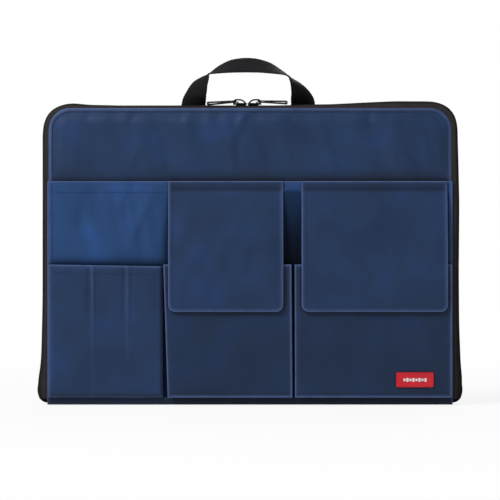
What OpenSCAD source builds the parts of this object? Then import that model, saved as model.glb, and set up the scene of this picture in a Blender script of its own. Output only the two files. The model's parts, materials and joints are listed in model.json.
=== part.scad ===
// Slim zip-round document organizer: two padded shells joined by a folding base, a three-sided
// zipper with two sliders, front pockets with lift-up flaps, and a webbing handle.
// Origin at the bottom centre. +X is the right side, -Y the pocket side, +Z up. Millimetres.

/* [Case] */
// Width of the fabric panels
panel_w = 331; // [300:1:360]
// Height of the fabric panels
panel_h = 243.6; // [220:0.2:260]
// Radius of the panels' top corners
panel_r = 18; // [14:1:22]
// How far the zipper's centre line stands outside the panels at the sides
chain_side = 4.6; // [3:0.1:6]
// How far the zipper's centre line stands above the panels at the top
chain_rise = 1.6; // [1.5:0.1:3]
// Radius of the zipper's centre line at the top corners
chain_r = 25.8; // [20:0.2:30]

/* [Layers] */
// Thickness of the outer cloth
skin_t = 0.8; // [0.5:0.1:1]
// Thickness of the stiffening boards
board_t = 0.8; // [0.5:0.1:1]
// Thickness of the foam
foam_t = 2; // [1.5:0.1:2.5]
// Thickness of the lining
lining_t = 0.6; // [0.4:0.1:0.8]
// Free depth of the main compartment
cavity_d = 8.2; // [7:0.1:9]

/* [Pockets] */
// Height of the full-width slip pocket
slip_top = 183.5; // [170:0.5:190]
// Height of the three front pockets
pocket_top = 115; // [105:0.5:120]
// Free depth of the centre and right pockets
pocket_d = 4.6; // [4.4:0.1:6]
// Free depth of the pen slots
pen_d = 4.4; // [4.2:0.1:4.6]
// Left edge of the centre pocket at its mouth
centre_left = -71; // [-72:0.5:-69]
// How far that edge leans in towards the bottom
centre_lean = 3.6; // [0:0.1:4]
// Right edge of the centre pocket
centre_right = 34; // [31:0.5:34.5]
// Left edge of the right pocket
right_left = 36.6; // [36:0.2:39]
// Height of the binding along the bottom edge
binding_h = 6; // [4:0.5:7]

/* [Flaps] */
// Bottom edge of both flaps
flap_bottom = 76.2; // [70:0.2:90]
// Height of the stitched band that holds each flap
band_h = 7; // [6:0.5:9]
// Width and centre of the centre flap
centre_flap_x = [-67, 27.3];
// Left and right edge of the right flap
right_flap_x = [42.3, 162];
// Radius of the flaps' lower corners
flap_r = 6; // [3:0.5:9]
// Thickness of a flap
flap_t = 1.2; // [0.8:0.1:1.4]
// Thickness of each hook or loop patch
patch_t = 0.5; // [0.4:0.1:0.6]

/* [Zipper] */
// Radius of each row of zipper coil
coil_r = 1.2; // [1:0.1:1.3]
// Gap between the two rows of coil
coil_gap = 1.4; // [1.2:0.1:1.6]
// Height at which the zipper starts at each side
chain_start = 5; // [4.5:0.5:8]
// Length of a slider
slider_l = 11.4; // [10:0.1:12]
// Width of a slider
slider_w = 8.6; // [8:0.1:9]
// Length of a pull tab from its pivot
pull_l = 24.3; // [18:0.1:26]
// Width of a pull tab
pull_w = 7.6; // [7:0.1:8]

/* [Handle] */
// Width of the webbing
web_w = 18; // [16:0.5:20]
// Thickness of the webbing
web_t = 1.2; // [1:0.1:1.4]

/* [Hidden] */
$fn = 48;

gap = 0.3;                // running clearance between pieces that move apart
half_w = panel_w / 2;
seam = 4;                 // width of the hidden seam allowance behind a panel's edge

// Layer faces from back to front. The webbing stands web_out behind the rear panel.
web_out = web_t / 2;
slip_gap = 0.7;
stack = 2 * (skin_t + board_t + foam_t + lining_t) + cavity_d + slip_gap + skin_t
  + pocket_d + skin_t + 2 * patch_t + gap + flap_t;
y_back = (stack + web_out) / 2 - web_out;
y_back_in = y_back - skin_t;
y_back_foam = y_back_in - board_t;
y_back_lining = y_back_foam - foam_t;
y_cavity_back = y_back_lining - lining_t;
y_cavity_front = y_cavity_back - cavity_d;
y_front_foam = y_cavity_front - lining_t;
y_front_board = y_front_foam - foam_t;
y_front_in = y_front_board - board_t;
y_front = y_front_in - skin_t;
y_slip_in = y_front - slip_gap;
y_slip = y_slip_in - skin_t;
y_pen_in = y_slip - pen_d;
y_pocket_in = y_slip - pocket_d;
y_pocket = y_pocket_in - skin_t;
y_flap_in = y_pocket - 2 * patch_t - gap;
y_flap = y_flap_in - flap_t;
y_split = (y_back + y_front) / 2;

// Zipper centre line
chain_x = half_w + chain_side;
chain_top = panel_h + chain_rise;
coil_y = coil_gap / 2 + coil_r;      // offset of each coil row from the split
tape_t = 1;
tape_end = coil_y + coil_r;          // offset at which the tape meets its coil

// Slider, measured from the coil's centre line
plate_t = 1.2;
plate_gap = coil_r + 0.4;
slider_meet = -2.3;                  // x at which the two sliders meet
bail_h = 3.45;
bail_w = 3;
bail_t = 1;
bail_inset = 0.7;
bar_r = 0.5;
pull_t = 1.1;
eye_l = 3.4;
pull_droop = 3.4;                    // how far a resting pull tab tips down, degrees
pull_tilt = 10;                      // how far it lies turned about its length, degrees
slider_top = chain_top + plate_gap + plate_t;
bar_z = slider_top + 0.25 + pull_w / 2 * sin(pull_tilt) + pull_t / 2;
bar_in = bail_inset + bail_t + gap + bar_r;

// Handle stations from left to right: x, z, turn about the webbing's length, forward tilt.
// The rear edge stays in one plane, so y follows from the turn.
web_z = chain_top + 2;    // the swinging part starts above the sewn stubs
route = [
  [-46.1, web_z, 0, 0], [-45.5, 251, 10, 0], [-44.7, 254.5, 22, 0], [-43.5, 258, 31, 0],
  [-42.2, 262, 41, 0], [-40.1, 266, 51, 0], [-37.2, 269.4, 68, 0], [-34.2, 271.9, 90, 3],
  [-30, 273.8, 90, 12], [-24.6, 275.9, 90, 23], [-16, 278.1, 90, 35], [-6.5, 279, 90, 40],
  [1, 279, 90, 40], [8, 278.4, 90, 37], [17, 276.6, 90, 29], [24.9, 273.8, 90, 15],
  [29, 272, 90, 8], [32.2, 269.9, 90, 3],
  [34.6, 267.6, 104, 0], [36.9, 265.2, 114, 0], [39, 262.2, 126, 0], [40.7, 259, 137, 0],
  [42, 255.5, 149, 0], [42.8, 251.5, 166, 0], [43.3, web_z, 180, 0]];

// A flat slab between two depths, cut from a front-view outline
module slab(y_low, y_high) {
  translate([0, y_high, 0]) rotate([90, 0, 0]) linear_extrude(y_high - y_low) children();
}

// Front-view outline with a flat bottom and round top corners
module arch(half, low, high, r) {
  translate([-half, low]) square([2 * half, high - low - r]);
  translate([-half + r, low]) square([2 * (half - r), high - low]);
  for (side = [-1, 1]) translate([side * (half - r), high - r]) circle(r);
}

// Front-view outline between two x and two z, with round lower corners
module tongue(x, low, high, r) {
  translate([x[0], low + r]) square([x[1] - x[0], high - low - r]);
  translate([x[0] + r, low]) square([x[1] - x[0] - 2 * r, high - low]);
  for (cx = [x[0] + r, x[1] - r]) translate([cx, low + r]) circle(r);
}

module rect(x, z) {
  translate([x[0], z[0]]) square([x[1] - x[0], z[1] - z[0]]);
}

// One shell's layers share the panel outline, drawn in by an inset
module inset_panel(inset, low) {
  arch(half_w - inset, low, panel_h - inset, panel_r - inset / 2);
}

anchor_x = [route[0][0], route[len(route) - 1][0]];
anchor_low = 226;         // lower end of the webbing sewn in behind the rear panel
stub_top = web_z - 1.8;

inner_low = 2.5;          // the stiffening layers stop above the folding base

module rear_panel() color("#24365a") slab(y_back_in, y_back) inset_panel(0, 0);

// Room left for the sewn webbing in the board and in the tape
module anchor_room() {
  for (x = anchor_x)
    rect([x - web_w / 2 - gap, x + web_w / 2 + gap], [anchor_low - gap, chain_top + tape_t]);
}

module rear_stiffener() color("#d8d8d4") slab(y_back_foam, y_back_in) difference() {
  inset_panel(seam + 1, inner_low);
  anchor_room();
}

module rear_foam() color("#4b4d52") slab(y_back_lining, y_back_foam) inset_panel(2.2, inner_low);

module rear_lining() color("#2e2f33") slab(y_cavity_back, y_back_lining) inset_panel(2.2, inner_low);

inner_pocket_top = 165;
module inner_pocket() color("#333439") {
  slab(y_cavity_back - slip_gap - lining_t, y_cavity_back - slip_gap)
    rect([-half_w + 8, half_w - 8], [binding_h, inner_pocket_top]);
  slab(y_cavity_back - slip_gap, y_cavity_back) {
    for (x = [-half_w + 8, half_w - 10]) rect([x, x + 2], [binding_h, inner_pocket_top]);
    rect([-half_w + 8, half_w - 8], [binding_h, binding_h + 2]);
  }
}

// Zipper tape: a flange hidden behind the panel's edge, and a wall that stands in to the coil
module tape_flange() {
  difference() {
    arch(chain_x + tape_t / 2, chain_start, chain_top + tape_t / 2, chain_r + tape_t / 2);
    arch(half_w - seam, 0, panel_h - seam, panel_r - seam / 2);
  }
}
module tape_wall() {
  difference() {
    arch(chain_x + tape_t / 2, chain_start, chain_top + tape_t / 2, chain_r + tape_t / 2);
    arch(chain_x - tape_t / 2, 0, chain_top - tape_t / 2, chain_r - tape_t / 2);
  }
}

module rear_zip_tape() color("#2b292b") {
  slab(y_back_foam, y_back_in) difference() {
    tape_flange();
    anchor_room();
  }
  slab(y_split + tape_end, y_back_foam) tape_wall();
}

module front_zip_tape() color("#2b292b") {
  slab(y_front_in, y_front_board) tape_flange();
  slab(y_front_board, y_split - tape_end) tape_wall();
}

// One row of coil as a smooth bead along the centre line
module coil_bead(y) {
  for (side = [-1, 1]) {
    translate([side * chain_x, y, chain_start]) cylinder(h = chain_top - chain_r - chain_start, r = coil_r);
    translate([side * (chain_x - chain_r), y, chain_top - chain_r])
      rotate([90, side > 0 ? 0 : -90, 0]) rotate_extrude(angle = 90) translate([chain_r, 0]) circle(coil_r);
  }
  translate([-chain_x + chain_r, y, chain_top]) rotate([0, 90, 0])
    cylinder(h = 2 * (chain_x - chain_r), r = coil_r);
}

module rear_zip_coil() color("#121214") coil_bead(y_split + coil_y);
module front_zip_coil() color("#121214") coil_bead(y_split - coil_y);

// Both sewn ends of the webbing: flat behind the rear panel, then out over its top edge
module handle_anchors() color("#1c1c1e") for (x = anchor_x)
  translate([x - web_w / 2, 0, 0]) rotate([90, 0, 90]) linear_extrude(web_w)
    polygon([[y_back_foam, anchor_low], [y_back_in, anchor_low], [y_back_in, panel_h],
      [y_back, panel_h], [y_back + web_out, panel_h + 0.8], [y_back + web_out, stub_top],
      [y_back - web_out, stub_top], [y_back - web_out, panel_h + 1.6], [y_back_foam, panel_h + 0.6]]);

// Folding base between the two shells, with its fold lines at the panels' lower edges
base_t = 1.2;
module base_strip() color("#1b2742")
  translate([-half_w, y_front_in + gap, 0]) cube([panel_w, y_back_in - y_front_in - 2 * gap, base_t]);

// Folded cloth tab that closes the zipper's lower end: a foot on the base, and a bulge past the coil
tab_bulge = 3.4;
tab_h = 33;
module end_tab(side) color("#1a1a1c") {
  tab_in = chain_x + coil_r + gap;
  tab_out = tab_in + tab_bulge;
  foot_in = half_w - 1.9;
  foot_h = chain_start - gap;
  outline = [[foot_in, base_t], [half_w + 2.5, base_t], [tab_in, 2.8], [tab_out - 1.4, 6],
    [tab_out, 10.5], [tab_out, 16], [tab_in + 1.2, 26], [tab_in, tab_h],
    [tab_in, foot_h], [foot_in, foot_h]];
  slab(y_front_in + 1.5, y_back_in - 1.5) polygon([for (p = outline) [side * p[0], p[1]]]);
}
module left_end_tab() end_tab(-1);
module right_end_tab() end_tab(1);

module front_panel() color("#2a3c5e") slab(y_front, y_front_in) inset_panel(0, 0);
module front_stiffener() color("#d8d8d4") slab(y_front_in, y_front_board) inset_panel(seam + 1, inner_low);
module front_foam() color("#4b4d52") slab(y_front_board, y_front_foam) inset_panel(2.2, inner_low);
module front_lining() color("#2e2f33") slab(y_front_foam, y_cavity_front) inset_panel(2.2, inner_low);

edge_w = 2;               // sewn edge that closes a pocket at its sides
module slip_pocket() color("#30466e") {
  slab(y_slip, y_slip_in) rect([-half_w, half_w], [0, slip_top]);
  slab(y_slip_in, y_front) {
    for (x = [-half_w, half_w - edge_w]) rect([x, x + edge_w], [0, slip_top]);
    rect([-half_w, half_w], [0, binding_h]);
  }
}

// Pen slots: a face and the sewn lines between the slots, left open at the top
pen_right = centre_left - 0.5;
pen_seams = [-129.6, -100.7];
seam_w = 1.6;
pen_slope = 1.5;          // the mouth drops a little towards the centre
module pen_outline() {
  polygon([[-half_w, binding_h], [pen_right, binding_h], [pen_right, pocket_top - pen_slope],
    [-half_w, pocket_top]]);
}
module pen_pocket() color("#2b3c5b") {
  slab(y_pen_in - skin_t, y_pen_in) pen_outline();
  slab(y_pen_in, y_slip) intersection() {
    pen_outline();
    union() {
      rect([-half_w, half_w], [binding_h, binding_h + seam_w]);
      for (x = concat([-half_w + seam_w / 2, pen_right - seam_w / 2], pen_seams))
        rect([x - seam_w / 2, x + seam_w / 2], [0, pocket_top]);
    }
  }
}

// Bellows pockets: a face, and a gusset round its sides and bottom
gusset_t = 0.8;
module centre_outline(inset) {
  polygon([[centre_left + centre_lean + inset, binding_h + inset], [centre_right - inset, binding_h + inset],
    [centre_right - inset, pocket_top + 1], [centre_left + inset, pocket_top + 1]]);
}
module pocket_mouth() rect([-half_w, half_w], [0, pocket_top]);

module centre_pocket_face() color("#24324d") slab(y_pocket, y_pocket_in) intersection() {
  centre_outline(0);
  pocket_mouth();
}
module centre_pocket_gusset() color("#2f4063") slab(y_pocket_in, y_slip) intersection() {
  difference() {
    centre_outline(0);
    centre_outline(gusset_t);
  }
  pocket_mouth();
}
module right_pocket_face() color("#24304a") slab(y_pocket, y_pocket_in)
  rect([right_left, half_w], [binding_h, pocket_top]);
module right_pocket_gusset() color("#2f4063") slab(y_pocket_in, y_slip) difference() {
  rect([right_left, half_w], [binding_h, pocket_top]);
  rect([right_left + gusset_t, half_w - gusset_t], [binding_h + gusset_t, pocket_top + 1]);
}

module bottom_binding() color("#1b273d") slab(y_slip - skin_t, y_slip) rect([-half_w, half_w], [0, binding_h]);

// Flaps: the band is sewn down, and the flap turns about the band's lower front edge
band_t = flap_t + 0.2;
flap_top = slip_top - band_h;
flap_knee = pocket_top - 3;
module flap_band(x) slab(y_slip - band_t, y_slip) rect(x, [flap_top + gap / 2, slip_top]);
module centre_flap_band() color("#2b3d5f") flap_band(centre_flap_x);
module right_flap_band() color("#283956") flap_band(right_flap_x);

module flap(x) {
  y_top = y_slip - band_t;
  top = flap_top - gap / 2;
  intersection() {
    slab(y_flap - 1, y_slip) tongue(x, flap_bottom, top, flap_r);
    translate([x[0], 0, 0]) rotate([90, 0, 90]) linear_extrude(x[1] - x[0])
      polygon([[y_top, top], [y_flap, flap_knee], [y_flap, flap_bottom],
        [y_flap_in, flap_bottom], [y_flap_in, flap_knee], [y_top + flap_t, top]]);
  }
}
module centre_flap() color("#2b3d5f") flap(centre_flap_x);
module right_flap() color("#283956") flap(right_flap_x);

// Hook patch inside each flap and the loop patch behind it on the pocket
patch_z = [84, 104];
patch_half = 20;
module patch(x, y_low) slab(y_low, y_low + patch_t)
  rect([(x[0] + x[1]) / 2 - patch_half, (x[0] + x[1]) / 2 + patch_half], patch_z);
module centre_flap_hook() color("#202a40") patch(centre_flap_x, y_flap_in);
module right_flap_hook() color("#202a40") patch(right_flap_x, y_flap_in);
module centre_pocket_loop() color("#202a40") patch(centre_flap_x, y_pocket - patch_t);
module right_pocket_loop() color("#202a40") patch(right_flap_x, y_pocket - patch_t);

label_x = [119.7, 150.4];
label_z = [14.5, 26.7];
label_t = 0.9;
module label_patch() color("#c21f30") slab(y_pocket - label_t, y_pocket)
  union() {
    rect(label_x, [label_z[0] + 1, label_z[1] - 1]);
    rect([label_x[0] + 1, label_x[1] - 1], label_z);
    for (x = [label_x[0] + 1, label_x[1] - 1]) for (z = [label_z[0] + 1, label_z[1] - 1])
      translate([x, z]) circle(1);
  }

// Slider, drawn with its nose at x = 0 and its tail towards -X, at the split and the chain's top
module slider_plate(z, lip) {
  nose_w = slider_w * 0.72;
  translate([0, 0, z]) linear_extrude(plate_t)
    polygon([[0, -nose_w / 2], [-2, -slider_w / 2], [-slider_l + 1.5, -slider_w / 2 + 0.8],
      [-slider_l, -slider_w / 2 + 2], [-slider_l, slider_w / 2 - 2],
      [-slider_l + 1.5, slider_w / 2 - 0.8], [-2, slider_w / 2], [0, nose_w / 2]]);
  for (side = [-1, 1]) translate([-slider_l + 2.5, side * (slider_w / 2 - 0.8) - 0.4, z + lip])
    cube([slider_l - 5, 0.8, plate_t]);
}
module slider_body() {
  slider_plate(plate_gap, -0.6);
  slider_plate(-plate_gap - plate_t, 0.6);
  translate([-2.6, -0.4, -plate_gap]) cube([2, 0.8, 2 * plate_gap]);
}
module bail_outline(inset, r) {
  x = [-slider_l + bail_inset + inset, -bail_inset - inset];
  z = [0, bail_h - inset];
  rect(x, [z[0], z[1] - r]);
  rect([x[0] + r, x[1] - r], z);
  for (cx = [x[0] + r, x[1] - r]) translate([cx, z[1] - r]) circle(r);
}
module slider_bail() {
  translate([0, bail_w / 2, plate_gap + plate_t]) rotate([90, 0, 0]) linear_extrude(bail_w) difference() {
    bail_outline(0, 1.7);
    translate([0, -0.01]) bail_outline(bail_t, 0.7);
  }
}
// Pull tab drawn from its pivot bar towards -X, with an eye for the bail and a long slot
pull_rail = 1.6;
pull_neck = 2.2;
module pull_tab() {
  arm_in = bail_w / 2 + gap;
  half = pull_w / 2;
  corner_r = 1.4;
  rotate([pull_tilt, 0, 0]) {
    rotate([90, 0, 0]) translate([0, 0, -half]) cylinder(h = pull_w, r = bar_r);
    rotate([0, -pull_droop, 0]) translate([0, 0, -pull_t / 2]) linear_extrude(pull_t) difference() {
      union() {
        rect([-pull_l + corner_r, 0], [-half, half]);
        rect([-pull_l, -eye_l], [-half + corner_r, half - corner_r]);
        for (side = [-1, 1]) translate([-pull_l + corner_r, side * (half - corner_r)]) circle(corner_r);
      }
      rect([-eye_l, 1], [-arm_in, arm_in]);
      rect([-pull_l + pull_neck, -eye_l - pull_neck], [-half + pull_rail, half - pull_rail]);
    }
  }
}
module at_chain(side) translate([slider_meet + side * gap, y_split, chain_top]) mirror([side > 0 ? 1 : 0, 0, 0])
  children();
module at_bar(side) at_chain(side) translate([-slider_l + bar_in, 0, bar_z - chain_top]) children();

module left_slider_body() color("#1c1c1e") at_chain(-1) slider_body();
module left_slider_bail() color("#222225") at_chain(-1) slider_bail();
module left_pull() color("#1c1c1e") at_bar(-1) pull_tab();
module right_slider_body() color("#1c1c1e") at_chain(1) slider_body();
module right_slider_bail() color("#222225") at_chain(1) slider_bail();
module right_pull() color("#1c1c1e") at_bar(1) pull_tab();

// Handle: a flat ribbon swept along its stations
function web_across(s) = [cos(s[2]), -sin(s[2]) * cos(s[3]), -sin(s[2]) * sin(s[3])];
function web_centre(s) = [s[0], y_back - web_w / 2 * sin(s[2]) * cos(s[3]), s[1]];
function unit(v) = v / norm(v);
function web_along(i) = unit(web_centre(route[min(i + 1, len(route) - 1)]) - web_centre(route[max(i - 1, 0)]));
function web_ring(i) =
  let (c = web_centre(route[i]), w = web_across(route[i]), n = unit(cross(w, web_along(i))))
    [for (k = [[-1, -1], [1, -1], [1, 1], [-1, 1]]) c + k[0] * web_w / 2 * w + k[1] * web_t / 2 * n];
module handle_webbing() color("#2c2c2e") {
  last = len(route) - 1;
  rings = [for (i = [0:last]) for (p = web_ring(i)) p];
  sides = [for (i = [0:last - 1]) for (k = [0:3]) let (a = 4 * i + k, b = 4 * i + (k + 1) % 4)
    each [[a, b, b + 4], [a, b + 4, a + 4]]];
  ends = [[2, 1, 0], [3, 2, 0], [4 * last, 4 * last + 1, 4 * last + 2], [4 * last, 4 * last + 2, 4 * last + 3]];
  polyhedron(rings, [for (f = concat(sides, ends)) [f[2], f[1], f[0]]]);
}

rear_panel();
rear_stiffener();
rear_foam();
rear_lining();
inner_pocket();
rear_zip_tape();
rear_zip_coil();
handle_anchors();
base_strip();
left_end_tab();
right_end_tab();
front_panel();
front_stiffener();
front_foam();
front_lining();
front_zip_tape();
front_zip_coil();
slip_pocket();
pen_pocket();
centre_pocket_face();
centre_pocket_gusset();
right_pocket_face();
right_pocket_gusset();
bottom_binding();
centre_flap_band();
right_flap_band();
centre_pocket_loop();
right_pocket_loop();
label_patch();
centre_flap();
centre_flap_hook();
right_flap();
right_flap_hook();
left_slider_body();
left_slider_bail();
left_pull();
right_slider_body();
right_slider_bail();
right_pull();
handle_webbing();
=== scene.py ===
"""Looks of the zip-round document organizer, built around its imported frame.

Lengths are millimetres unless a name says metres. +X is right, -Y the pocket side, +Z up.
"""

import json
import math

import bmesh
import bpy
import numpy as np
from mathutils import Matrix, Vector
from mathutils.bvhtree import BVHTree


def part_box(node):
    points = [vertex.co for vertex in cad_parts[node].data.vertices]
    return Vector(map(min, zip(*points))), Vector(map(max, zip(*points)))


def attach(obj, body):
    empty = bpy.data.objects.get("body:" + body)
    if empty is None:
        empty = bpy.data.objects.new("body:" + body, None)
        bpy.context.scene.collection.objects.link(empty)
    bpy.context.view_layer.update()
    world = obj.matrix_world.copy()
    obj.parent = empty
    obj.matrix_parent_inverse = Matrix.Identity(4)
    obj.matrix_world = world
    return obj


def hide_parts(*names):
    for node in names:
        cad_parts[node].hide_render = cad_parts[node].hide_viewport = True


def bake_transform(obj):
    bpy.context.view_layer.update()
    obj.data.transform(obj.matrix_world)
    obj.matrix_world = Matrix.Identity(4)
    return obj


MM = 0.001

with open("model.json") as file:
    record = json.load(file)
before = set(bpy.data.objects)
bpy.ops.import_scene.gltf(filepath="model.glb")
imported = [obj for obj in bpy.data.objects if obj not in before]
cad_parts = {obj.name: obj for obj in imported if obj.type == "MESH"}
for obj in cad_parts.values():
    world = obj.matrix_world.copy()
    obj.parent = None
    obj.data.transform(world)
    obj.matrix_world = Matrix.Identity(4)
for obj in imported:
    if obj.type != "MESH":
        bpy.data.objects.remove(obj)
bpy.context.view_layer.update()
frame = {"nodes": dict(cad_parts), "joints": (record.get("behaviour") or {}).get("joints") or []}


class Span:
    """A CAD node's box: x, y and z are (low, high) in millimetres."""

    def __init__(self, node):
        low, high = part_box(node)
        self.x, self.y, self.z = [(low[i] / MM, high[i] / MM) for i in range(3)]

    def mid(self, axis):
        return sum(getattr(self, axis)) / 2


FRONT = Span("front_panel")
REAR = Span("rear_panel")
SLIP = Span("slip_pocket")
PEN = Span("pen_pocket")
CENTRE = Span("centre_pocket_face")
RIGHT = Span("right_pocket_face")
BINDING = Span("bottom_binding")
COIL = Span("rear_zip_coil")
FRONT_COIL = Span("front_zip_coil")

PANEL_HALF = FRONT.x[1]
PANEL_TOP = FRONT.z[1]
PANEL_R = 18.0
SPLIT_Y = (FRONT_COIL.y[0] + COIL.y[1]) / 2
COIL_R = (COIL.y[1] - COIL.y[0]) / 2
CHAIN_HALF = COIL.x[1] - COIL_R
CHAIN_TOP = COIL.z[1] - COIL_R
CHAIN_LOW = COIL.z[0]
CHAIN_R = 25.8
CENTRE_FLAP = Span("centre_flap")
RIGHT_FLAP = Span("right_flap")
BAND = Span("centre_flap_band")
MOUTH_Z = CENTRE.z[1]  # height of the pocket mouths
CENTRE_LEAN = (3.6, 0.8)  # how far the pockets' sides lean to the right at the bottom
RIGHT_LEAN = (0.3, 0.0)
PEN_SEAMS = (-129.6, -100.7)  # x of the seams between the pen slots


def put(name, data):
    """A new object in the scene."""
    obj = bpy.data.objects.new(name, data)
    bpy.context.scene.collection.objects.link(obj)
    return obj


def hinge_of(body):
    """A body's joint: a point on its axis, in metres."""
    return next(j for j in frame["joints"] if j["child"] == body)["pos_m"]


# ---- camera, light and floor ----


def make_camera():
    frame_width = 0.4108  # metres seen across at the case
    distance = 2.0
    aim_height = 0.1269
    data = bpy.data.cameras.new("camera")
    data.sensor_width = 36
    data.lens = data.sensor_width * distance / frame_width
    camera = put("camera", data)
    camera.location = (0, FRONT.y[0] * MM - distance, aim_height)
    camera.rotation_euler = (math.pi / 2, 0, 0)
    bpy.context.scene.camera = camera


def make_light(name, location, size, watts):
    """A square lamp that faces the middle of the case."""
    data = bpy.data.lights.new(name, "AREA")
    data.size = size
    data.energy = watts
    light = put(name, data)
    light.location = location
    facing = Vector((0, 0, 0.13)) - light.location
    light.rotation_euler = facing.to_track_quat("-Z", "Y").to_euler()


def add_node(tree, kind, **settings):
    """A shader node with its settings and socket values."""
    node = tree.nodes.new("ShaderNode" + kind)
    for key, value in settings.items():
        if hasattr(node, key):
            setattr(node, key, value)
        else:
            node.inputs[key.replace("_", " ")].default_value = value
    return node


def make_studio():
    make_light("key_light", (-1.15, -0.95, 1.6), 0.6, 34)
    make_light("fill_light", (1.3, -2.0, 0.5), 1.2, 4)
    make_light("rear_light", (0.6, 1.9, 1.2), 1.2, 14)
    make_light("top_light", (0.2, 0.0, 2.0), 0.8, 5)
    world = bpy.data.worlds.new("studio")
    bpy.context.scene.world = world
    world.use_nodes = True
    tree = world.node_tree
    backdrop = tree.nodes["Background"]
    backdrop.inputs["Color"].default_value = (1, 1, 1, 1)
    backdrop.inputs["Strength"].default_value = 1.0
    room = add_node(tree, "Background", Color=(0.93, 0.96, 1, 1), Strength=0.13)
    path = add_node(tree, "LightPath")
    mix = add_node(tree, "MixShader")
    tree.links.new(path.outputs["Is Camera Ray"], mix.inputs["Fac"])
    tree.links.new(room.outputs[0], mix.inputs[1])
    tree.links.new(backdrop.outputs[0], mix.inputs[2])
    tree.links.new(mix.outputs[0], tree.nodes["World Output"].inputs["Surface"])
    bpy.context.scene.view_settings.view_transform = "Standard"


def make_floor():
    """A pale round floor that fades into the white room, and doesn't hide a case opened below it."""
    material = bpy.data.materials.new("floor")
    material.use_nodes = True
    tree = material.node_tree
    paint = tree.nodes["Principled BSDF"]
    paint.inputs["Base Color"].default_value = (0.93, 0.93, 0.93, 1)
    paint.inputs["Roughness"].default_value = 0.9
    paint.inputs["Specular IOR Level"].default_value = 0.1
    clear = add_node(tree, "BsdfTransparent")
    place = add_node(tree, "TexCoord")
    length = add_node(tree, "VectorMath", operation="LENGTH")
    fade = add_node(tree, "MapRange", From_Min=0.15, From_Max=0.9, To_Min=0.85)
    path = add_node(tree, "LightPath")
    rays = add_node(tree, "Math", operation="MAXIMUM")
    seen = add_node(tree, "Math", operation="MULTIPLY")
    mix = add_node(tree, "MixShader")
    tree.links.new(place.outputs["Object"], length.inputs[0])
    tree.links.new(length.outputs["Value"], fade.inputs["Value"])
    tree.links.new(path.outputs["Is Camera Ray"], rays.inputs[0])
    tree.links.new(path.outputs["Is Shadow Ray"], rays.inputs[1])
    tree.links.new(fade.outputs[0], seen.inputs[0])
    tree.links.new(rays.outputs[0], seen.inputs[1])
    tree.links.new(seen.outputs[0], mix.inputs["Fac"])
    tree.links.new(paint.outputs[0], mix.inputs[1])
    tree.links.new(clear.outputs[0], mix.inputs[2])
    tree.links.new(mix.outputs[0], tree.nodes["Material Output"].inputs["Surface"])
    bm = bmesh.new()
    radius, below = 9, 0.0003  # metres
    bmesh.ops.create_circle(bm, cap_ends=True, segments=96, radius=radius)
    mesh = bpy.data.meshes.new("floor")
    bm.to_mesh(mesh)
    bm.free()
    mesh.materials.append(material)
    floor = put("floor", mesh)
    floor.location = (0, 0, -below)


# ---- materials ----


def linear(red, green, blue):
    """A colour given as 0 to 255 display values."""
    return tuple(((c / 255) ** 2.2) for c in (red, green, blue)) + (1,)


# the light colour of rubbed edges, used also as painted highlight along edges and seams
WORN_AND_HIGHLIGHT = linear(80, 98, 142)


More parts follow.
